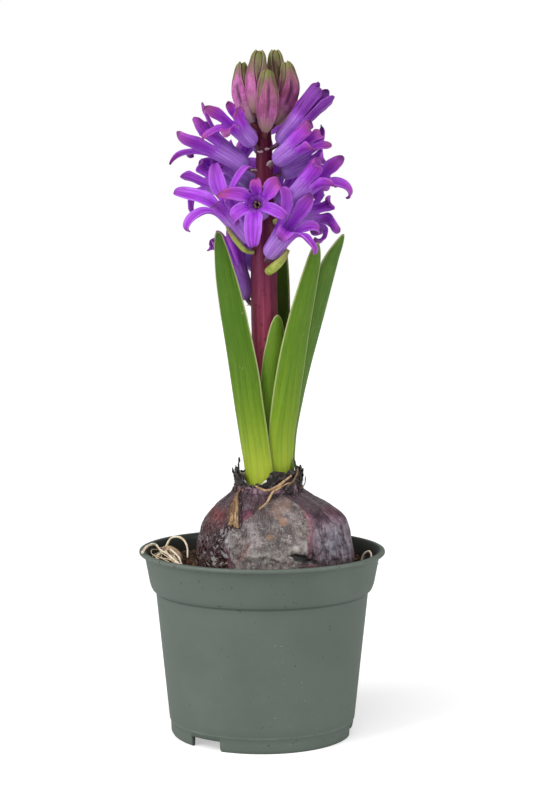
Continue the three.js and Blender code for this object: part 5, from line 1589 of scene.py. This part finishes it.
def petal_violet():
    f = Finish("petal_violet")
    place = f.place()
    reach, across, lobe = f.value("reach"), f.value("across"), f.value("lobe")
    margin, inner = f.value("margin"), f.value("back")
    along = f.combined(across, f.times(reach, 0.22), lobe)
    broad = f.grain(along, 3.2, 2, 0.5)
    lines = f.grain(along, 9, 4, 0.62)
    fine = f.grain(along, 26, 3, 0.6)
    cloudy = f.grain(place, 130, 3, 0.6)
    # Lavender tube with pinkish lines, violet lobes with a darker middle
    shading = f.blend(broad, 0.6, lines, 0.4)
    tube_tint = f.ramp(shading, 0.38, 0.64, (0.340, 0.110, 0.56), (0.55, 0.290, 0.87))
    lobe_tint = f.ramp(shading, 0.38, 0.62, (0.245, 0.008, 0.46), (0.520, 0.068, 0.90))
    f.colour = f.ramp(reach, 0.8, 1.25, tube_tint, lobe_tint)
    middle = f.between(f.maths("ABSOLUTE", across), 0.0, 0.26, 1.0, 0.0)
    on_lobe = f.between(reach, 0.95, 1.3)
    f.coat((0.135, 0.012, 0.30), f.times(middle, on_lobe), f.between(broad, 0.40, 0.6, 0.25, 0.7))
    on_tube = f.times(f.between(reach, 0.1, 0.5), f.minus(1, on_lobe))
    f.coat((0.175, 0.032, 0.27), f.times(middle, on_tube), 0.3)
    f.coat((0.56, 0.22, 0.88), margin, 0.6)
    f.coat((0.54, 0.23, 0.80), f.between(fine, 0.52, 0.72, 0, 0.2))
    f.coat((0.22, 0.022, 0.44), f.between(cloudy, 0.44, 0.7), 0.4)
    # Tips turn a dull pink, and on some florets green
    tip = f.between(f.plus(reach, f.times(cloudy, 0.3)), 1.62, 2.1)
    f.coat((0.38, 0.046, 0.23), tip, f.value("pink"))
    end = f.between(f.plus(reach, f.times(cloudy, 0.2)), 1.82, 2.05)
    f.coat((0.20, 0.17, 0.075), end, f.value("green"))
    blush = f.times(f.between(f.plus(reach, f.times(broad, 0.5)), 1.25, 1.8), f.value("pink"))
    f.coat((0.34, 0.030, 0.33), blush, 0.4)
    dark_end = f.between(f.plus(reach, f.times(lobe, 0.12)), 1.93, 2.06)
    f.coat((0.120, 0.020, 0.16), dark_end, 0.6)
    # Florets with a tint below 0 have darker lobes
    f.coat((0.115, 0.010, 0.185), f.times(f.value("pink"), -0.8), on_lobe)
    # Base of the tube and its stalk: bluish lavender, then greenish mauve
    foot = f.between(reach, 0.05, 0.45, 1.0, 0.0)
    f.coat((0.36, 0.21, 0.62), foot, 0.5)
    seat = f.between(reach, -0.02, 0.09, 1.0, 0.0)
    f.coat((0.160, 0.055, 0.17), seat, 0.7)
    stalk = f.between(reach, -0.2, 0.02, 1.0, 0.0)
    f.coat(f.ramp(cloudy, 0.3, 0.7, (0.095, 0.030, 0.050), (0.19, 0.085, 0.085)), stalk)
    # Painted shade deep in the throat
    throat = f.times(f.times(inner, f.between(reach, 0.68, 1.22, 0.9, 0.0)), f.between(reach, 0.05, 0.1))
    throat = f.maths("MAXIMUM", throat, f.times(f.value("deep"), 0.92))
    f.coat((0.105, 0.007, 0.170), throat)
    relief = f.blend(lines, 0.8, fine, 0.5)
    normal = f.bump(relief, 0.35, 0.0004)
    return f.done(f.between(cloudy, 0.3, 0.7, 0.34, 0.46), normal, Specular_IOR_Level=0.34,
                  **soft_tissue((1.0, 0.35, 1.0), 0.0010))


# Anthers: six in each throat
def anther_tree(material):
    """Slim anthers that stand on the carrier's points, along the direction stored there."""
    t = Tree("anthers", [("Length", "Float", 0.0022), ("Girth", "Float", 0.00084)])
    grain = t.node("GeometryNodeMeshUVSphere", {"Segments": 14, "Rings": 10, "Radius": 0.5})
    size = t.node("ShaderNodeCombineXYZ",
                  {0: t.given("Girth"), 1: t.given("Girth"), 2: t.given("Length")})
    slim = t.node("GeometryNodeTransform", {"Geometry": grain, "Scale": size})
    lean = t.node("GeometryNodeInputNamedAttribute", {"Name": "lean"}, data_type="FLOAT_VECTOR")
    turn = t.node("FunctionNodeAlignRotationToVector", {"Vector": lean}, axis="Z")
    placed = t.node("GeometryNodeInstanceOnPoints",
                    {"Points": t.given("Geometry"), "Instance": slim, "Rotation": turn})
    return t.end(placed, material)


def make_anthers(material):
    points, leans = [], []
    for floret in FLORETS.values():
        base, axis, up = floret_frame(floret)
        length, size = floret[3], floret[4]
        side = np.cross(axis, up)
        for k in range(6):
            turn = radians(60 * k)
            out = cos(turn) * up + sin(turn) * side
            points.append(base + axis * (length - (1.0 if k % 2 else 1.7)) + out * 1.05 * size)
            leans.append(axis - out * 0.12)
    carrier = raw_object("anther_places", Shape(points, []))
    lean = carrier.data.attributes.new("lean", "FLOAT_VECTOR", "POINT")
    lean.data.foreach_set("vector", np.array(leans, np.float32).ravel())
    plain = run_tree(carrier, anther_tree(material), "floret_anthers", Length=0.0022, Girth=0.00084)
    return register(plain, "petal")


def anther_yellow():
    f = Finish("anther_yellow")
    place = f.place()
    dusty = f.grain(place, 2600, 3, 0.6)
    f.colour = f.ramp(dusty, 0.3, 0.7, (0.26, 0.19, 0.085), (0.50, 0.42, 0.22))
    return f.done(0.8, f.bump(dusty, 0.5, 0.0001))


# Buds: closed, with three broad outer lobes whose edges part towards the tip and show the inner lobes
# Each: azimuth and height where its stalk leaves the stem, widest place, tip, radius, azimuth that the
# middle of an outer lobe faces, fullness of the foot, paleness, greenness, depth of the violet streak
BUDS = {
    "left": ((-92, 220.5), (-7.3, 2.8, 233.6), (-7.5, 3.2, 244.4), 3.55, -22, 0.1, 1.0, 0.25, 0.9),
    "right": ((84, 220.5), (9.5, -1.6, 234.2), (8.9, -0.8, 244.3), 3.8, 12, 0.1, 0.25, 0.35, 1.0),
    "front": ((8, 217.5), (1.9, -8.6, 230.4), (1.9, -8, 240.8), 4.0, 6, 0.10, 0.22, 0.45, 0.8),
    "top_left": ((-50, 224), (-1.9, -2.2, 238.6), (-1.1, -1.4, 248.2), 4.0, 62, 0.1, 0.35, 0.75, 0.2),
    "top_right": ((130, 224), (5.0, 4, 238.4), (4.6, 3.4, 248.8), 4.0, 66, 0.1, 0.1, 0.8, 0.3),
    "back_left": ((-150, 220), (-4.6, 9.8, 230.8), (-4.2, 9.2, 241), 3.4, 200, 0.1, 0.5, 0.4, 0.5),
    "back_right": ((128, 220), (9.4, 8, 230.4), (8.8, 7.4, 240), 3.4, 160, 0.1, 0.5, 0.4, 0.6),
    "back": ((176, 217.5), (2.7, 11, 228), (2.6, 10.6, 238), 3.4, 176, 0.2, 0.6, 0.2, 0.4),
}
BUD_OUTLINE = [
    (0.0, 0.34), (0.08, 0.50), (0.22, 0.78), (0.38, 0.98), (0.52, 1.03), (0.66, 0.97), (0.80, 0.80),
    (0.90, 0.67), (0.96, 0.53), (1.0, 0.32),
]


def make_bud(name, material, seed):
    (azimuth, height), belly, tip, radius, facing, fullness, pale, green, streak = BUDS[name]
    heart = stem_centre(height)
    start = heart + outward(azimuth) * (stem_radius(height) + 1.4) + (0, 0, 2)
    rows, sides = 80, 132
    line = spline([start, belly, tip], rows)
    tangents = np.gradient(line, axis=0)
    across = np.cross((0, 0, 1), outward(azimuth))
    rings = []
    values = {label: [] for label in ("share", "groove", "inner", "lip", "flat", "dir_x", "dir_y")}
    for row in range(rows):
        s = row / (rows - 1)
        tangent = unit(tangents[row])
        side = unit(across - tangent * across.dot(tangent))
        out = np.cross(side, tangent)
        swell = fullness * smooth(s / 0.09) * (1 - smooth(s / 0.45))
        width = radius * (float(flow(BUD_OUTLINE, s)) + swell)
        parted = 34 * smooth((s - 0.32) / 0.62)
        ring = []
        for i in range(sides):
            turn = 2 * pi * i / sides
            spot = (cos(turn) * 1.6, sin(turn) * 1.6, s * 3)
            # Degrees from the middle of the nearest outer lobe, and mm from that lobe's edge
            off = abs((azimuth + 90 + degrees(turn) - facing + 60) % 120 - 60)
            off += 4.5 * wander(spot, 1, seed)
            inside = radians(60 - off - parted) * width
            opening = smooth((s - 0.18) / 0.3)
            groove = bell(inside + 0.10, 0.20) * (0.35 + 0.65 * opening)
            inner = smooth((-inside - 0.05) / 0.3) * smooth((s - 0.34) / 0.1)
            lip = bell(inside - 0.26, 0.20) * opening
            keel = smooth(1 - off / 20)
            hollow = bell(off - 24, 13) * smooth((s - 0.15) / 0.3) * smooth((1 - s) / 0.2)
            rib = bell(60 - off, 9) * inner
            ridge = 0.05 * keel * smooth((s - 0.8) / 0.12) + 0.05 * rib
            r = width * (1 - 0.075 * inner - 0.045 * hollow + ridge)
            r += 0.14 * lip - 0.36 * groove + 0.12 * wander(spot, 1.3, seed + 4)
            knob = 0.35 * smooth((s - 0.84) / 0.16) * (keel - 1.2 * groove - 0.4 * inner)
            ring.append(line[row] + side * r * cos(turn) - out * r * sin(turn) + tangent * knob)
            for label, value in zip(values, (s, groove, inner, lip, keel, cos(turn), sin(turn))):
                values[label].append(value)
        rings.append(ring)
    body = loft(rings, line[0], line[-1] - unit(tangents[-1]) * 0.35, **values)
    inside = heart + outward(azimuth) * (stem_radius(height) - 0.6)
    path = spline([inside, start, line[8], line[15]], 18)
    stalk = tube(path, np.linspace(1.0, 1.15, 18), 16, share=np.linspace(-0.3, 0.05, 18))
    whole = joined([body, stalk])
    for label, value in (("pale", pale), ("green", green), ("streak", streak)):
        whole.values[label] = np.full(len(whole.points), value)
    return piece(name + "_closed_bud", whole, material, "bud", "bud_" + name)


def bud_mauve():
    f = Finish("bud_mauve")
    place = f.place()
    share, groove, inner, green = f.value("share"), f.value("groove"), f.value("inner"), f.value("green")
    around = f.combined(f.value("dir_x"), f.value("dir_y"), f.times(share, 0.8))
    broad = f.grain(around, 2.4, 3, 0.55)
    lines = f.grain(around, 7, 4, 0.62)
    fine = f.grain(around, 22, 3, 0.6)
    cloudy = f.grain(place, 240, 4, 0.65)
    uneven = f.plus(share, f.times(f.minus(cloudy, 0.5), 0.35))
    # Rosy mauve, lilac on the paler buds, brownish on the duller ones
    dusky = f.ramp(lines, 0.34, 0.66, (0.225, 0.038, 0.095), (0.390, 0.092, 0.205))
    light = f.ramp(lines, 0.34, 0.66, (0.47, 0.085, 0.370), (0.68, 0.215, 0.570))
    bright = f.minus(f.plus(f.value("pale"), f.times(broad, 0.9)), f.times(share, 0.9))
    body = f.ramp(bright, -0.1, 0.8, dusky, light)
    body = f.mix(f.between(fine, 0.52, 0.72, 0, 0.3), body, (0.50, 0.27, 0.38))
    body = f.mix(f.between(cloudy, 0.44, 0.62, 0, 0.6), body, (0.20, 0.048, 0.090))
    # The foot is beige on the duller buds and pale lilac on the paler ones
    foot = f.mix(f.value("pale"), (0.31, 0.155, 0.100), (0.62, 0.40, 0.58))
    foot = f.ramp(lines, 0.3, 0.7, foot, (0.40, 0.27, 0.19))
    f.colour = f.ramp(uneven, 0.06, 0.42, foot, body)
    # A violet streak down the middle of each outer lobe
    streak = f.times(f.between(f.value("flat"), 0.25, 0.9), f.between(uneven, 0.24, 0.42))
    streak = f.times(streak, f.between(uneven, 0.62, 0.80, 1.0, 0.0))
    streak = f.times(streak, f.between(broad, 0.36, 0.54, 0.35, 1.0))
    f.coat((0.085, 0.009, 0.070), streak, f.value("streak"))
    # Olive tips, yellower on the inner lobes and at the very end
    olive = f.ramp(f.blend(fine, 0.4, cloudy, 0.6), 0.38, 0.6, (0.115, 0.072, 0.042),
                   (0.205, 0.160, 0.080))
    reach = f.plus(f.plus(uneven, f.times(green, 0.34)), f.times(inner, 0.22))
    f.coat(olive, f.between(reach, 0.74, 1.12))
    tip = f.between(f.plus(uneven, f.times(green, 0.12)), 0.86, 1.02)
    f.coat((0.155, 0.185, 0.030), tip, 0.75)
    # Painted shade in the grooves between the outer lobes
    deep = f.ramp(share, 0.1, 0.4, (0.16, 0.06, 0.045), (0.050, 0.010, 0.024))
    f.coat(deep, f.between(groove, 0.22, 0.85), 0.9)
    lip = f.times(f.value("lip"), f.between(share, 0.45, 0.85, 0.1, 0.6))
    f.coat((0.44, 0.31, 0.17), lip, f.between(cloudy, 0.35, 0.6, 0.3, 1.0))
    stalk = f.between(share, -0.12, 0.02, 1.0, 0.0)
    f.coat((0.17, 0.055, 0.050), stalk)
    relief = f.blend(lines, 0.7, fine, 0.5)
    return f.done(f.between(cloudy, 0.3, 0.7, 0.36, 0.5), f.bump(relief, 0.35, 0.00035),
                  Specular_IOR_Level=0.32, **soft_tissue((1.0, 0.4, 0.6), 0.0010))


# Stunted buds and green bracts under the lower florets: path, radii
BRACTS = {
    "club": ([(3.2, -4.2, 170), (2.6, -6.6, 169.8), (4.4, -8.4, 171.2), (7.2, -10.1, 173.9),
              (9.4, -11.7, 177.2)],
             (1.2, 1.7, 1.6, 1.2, 0.6)),
    "right": ([(4.2, -1.7, 187.3), (9, -4, 188.4), (14, -5.8, 191.4), (18, -7.6, 195.3)],
              (0.9, 1.3, 1, 0.4)),
    "left": ([(-3.2, -3.6, 176.4), (-6.2, -6.5, 177.3), (-9.6, -9.2, 181), (-12.6, -11.5, 185.4)],
             (0.8, 0.95, 0.9, 0.4)),
}


def make_bract(name, material):
    path, radii = BRACTS[name]
    line = spline(path, 40)
    ends = np.linspace(0, 1, len(radii))
    girth = np.array([float(flow(list(zip(ends, radii)), t)) for t in np.linspace(0, 1, 40)])
    girth *= 1 + 0.10 * np.array([wander(p, 2.2, 4) for p in line])
    shape = tube(line, girth, 24, share=np.linspace(0, 1, 40))
    return piece(name + "_green_bract", shape, material, "bract", "bract_" + name)


def bract_green():
    f = Finish("bract_green")
    place = f.place()
    share = f.value("share")
    cloudy = f.grain(place, 330, 4, 0.65)
    fine = f.grain(f.stretched(place, (1, 1, 0.4)), 1400, 2)
    f.colour = f.ramp(cloudy, 0.32, 0.66, (0.26, 0.31, 0.035), (0.47, 0.54, 0.10))
    pale = f.between(share, 0.02, 0.24, 1.0, 0.0)
    f.coat((0.66, 0.66, 0.32), pale, 0.5)
    flush = f.between(f.plus(share, f.times(cloudy, 0.5)), 0.80, 1.15)
    f.coat((0.24, 0.16, 0.07), flush, 0.6)
    return f.done(0.45, f.bump(fine, 0.35, 0.0002), **soft_tissue((0.8, 1.0, 0.4), 0.001))


# Floor, light and camera, in metres
CAMERA_PLACE = (0.0016, -0.700, 0.187)
CAMERA_TILT = 84.75  # degrees from straight down
CAMERA_LENS = 86.85  # focal length in mm
LIGHTS_AIM = (0, 0, 0.13)
SKY_STRENGTH = 0.24
LEFT_POWER = 6.4
RIGHT_POWER = 4.3
OVERHEAD_POWER = 1.3


def make_floor():
    bpy.ops.mesh.primitive_plane_add(size=6)
    floor = bpy.context.object
    floor.name = "studio_floor"
    f = Finish("pale_floor")
    soft = f.grain(f.place(), 3, 2)
    f.colour = f.ramp(soft, 0.3, 0.7, (0.80, 0.80, 0.80), (0.84, 0.84, 0.84))
    # The camera sees the floor a little brighter than it lights the pot
    away = f.node("ShaderNodeVectorMath", operation="LENGTH")
    f.put(away.inputs[0], f.place())
    seen = f.between(away.outputs["Value"], 0.35, 1.6, 0.48, 0.75)
    seen = f.times(f.node("ShaderNodeLightPath").outputs["Is Camera Ray"], seen)
    floor.data.materials.append(f.done(0.8, Emission_Strength=seen, Emission_Color=(1, 1, 1)))


def soft_light(name, place, width, power):
    data = bpy.data.lights.new(name, "AREA")
    data.shape = "RECTANGLE"
    data.size = width
    data.size_y = 0.7
    data.energy = power
    lamp = bpy.data.objects.new(name, data)
    lamp.location = place
    lamp.rotation_euler = (Vector(LIGHTS_AIM) - Vector(place)).to_track_quat("-Z", "Y").to_euler()
    bpy.context.scene.collection.objects.link(lamp)


def make_light():
    world = bpy.data.worlds.new("studio")
    world.use_nodes = True
    tree = world.node_tree
    sky = tree.nodes["Background"]
    sky.inputs["Color"].default_value = (1, 1, 1, 1)
    sky.inputs["Strength"].default_value = SKY_STRENGTH
    # The backdrop shows white, and lights the plant less than it shows
    white = tree.nodes.new("ShaderNodeBackground")
    path = tree.nodes.new("ShaderNodeLightPath")
    either = tree.nodes.new("ShaderNodeMixShader")
    tree.links.new(path.outputs["Is Camera Ray"], either.inputs[0])
    tree.links.new(sky.outputs[0], either.inputs[1])
    tree.links.new(white.outputs[0], either.inputs[2])
    tree.links.new(either.outputs[0], tree.nodes["World Output"].inputs["Surface"])
    white.inputs["Color"].default_value = (1, 1, 1, 1)
    bpy.context.scene.world = world
    soft_light("left_softbox", (-0.75, -0.55, 0.55), 0.6, LEFT_POWER)
    soft_light("right_softbox", (0.85, -0.35, 0.45), 0.5, RIGHT_POWER)
    sun = bpy.data.lights.new("overhead_light", "SUN")
    sun.energy = OVERHEAD_POWER
    sun.angle = radians(50)
    lamp = bpy.data.objects.new("overhead_light", sun)
    lamp.rotation_euler = (radians(28), radians(-16), 0)
    bpy.context.scene.collection.objects.link(lamp)


def make_camera():
    data = bpy.data.cameras.new("photo_camera")
    data.sensor_width = 36
    data.lens = CAMERA_LENS
    data.dof.use_dof = False
    data.clip_end = 20
    camera = bpy.data.objects.new("photo_camera", data)
    camera.location = CAMERA_PLACE
    camera.rotation_euler = (radians(CAMERA_TILT), 0, 0)
    bpy.context.scene.collection.objects.link(camera)
    bpy.context.scene.camera = camera


# Assembly
make_pot(pot_plastic())
mix = potting_mix()
bed = make_soil(mix)
make_crumbs(bed, mix)
make_bulb(bulb_skin())
dry = dry_scale()
make_neck(dry)
make_sheath(pale_sheath())
cream = pale_root()
make_roots(cream)
make_skin_fibres(dry)
make_stem(fleshy_stem())
make_stem_bracts(papery_bract())
green = leaf_green()
# Each leaf: how bluish it is, and how much painted light it gets (painted shade below 0)
LEAF_TINTS = {"front_left": (0, -0.8), "front_right": (0, 0.45), "back_right": (1, 0),
              "inner_front": (0, 0.9), "back": (0, 0)}
for leaf, (blue, light) in LEAF_TINTS.items():
    make_leaf(leaf, green, blue, light)
violet = petal_violet()
for number, floret in enumerate(FLORETS):
    make_floret(floret, violet, number + 0.5)
make_anthers(anther_yellow())
mauve = bud_mauve()
for number, bud in enumerate(BUDS):
    make_bud(bud, mauve, number + 0.5)
tissue = bract_green()
for bract in BRACTS:
    make_bract(bract, tissue)

make_floor()
make_light()
make_camera()
bpy.context.scene.view_settings.view_transform = "Standard"
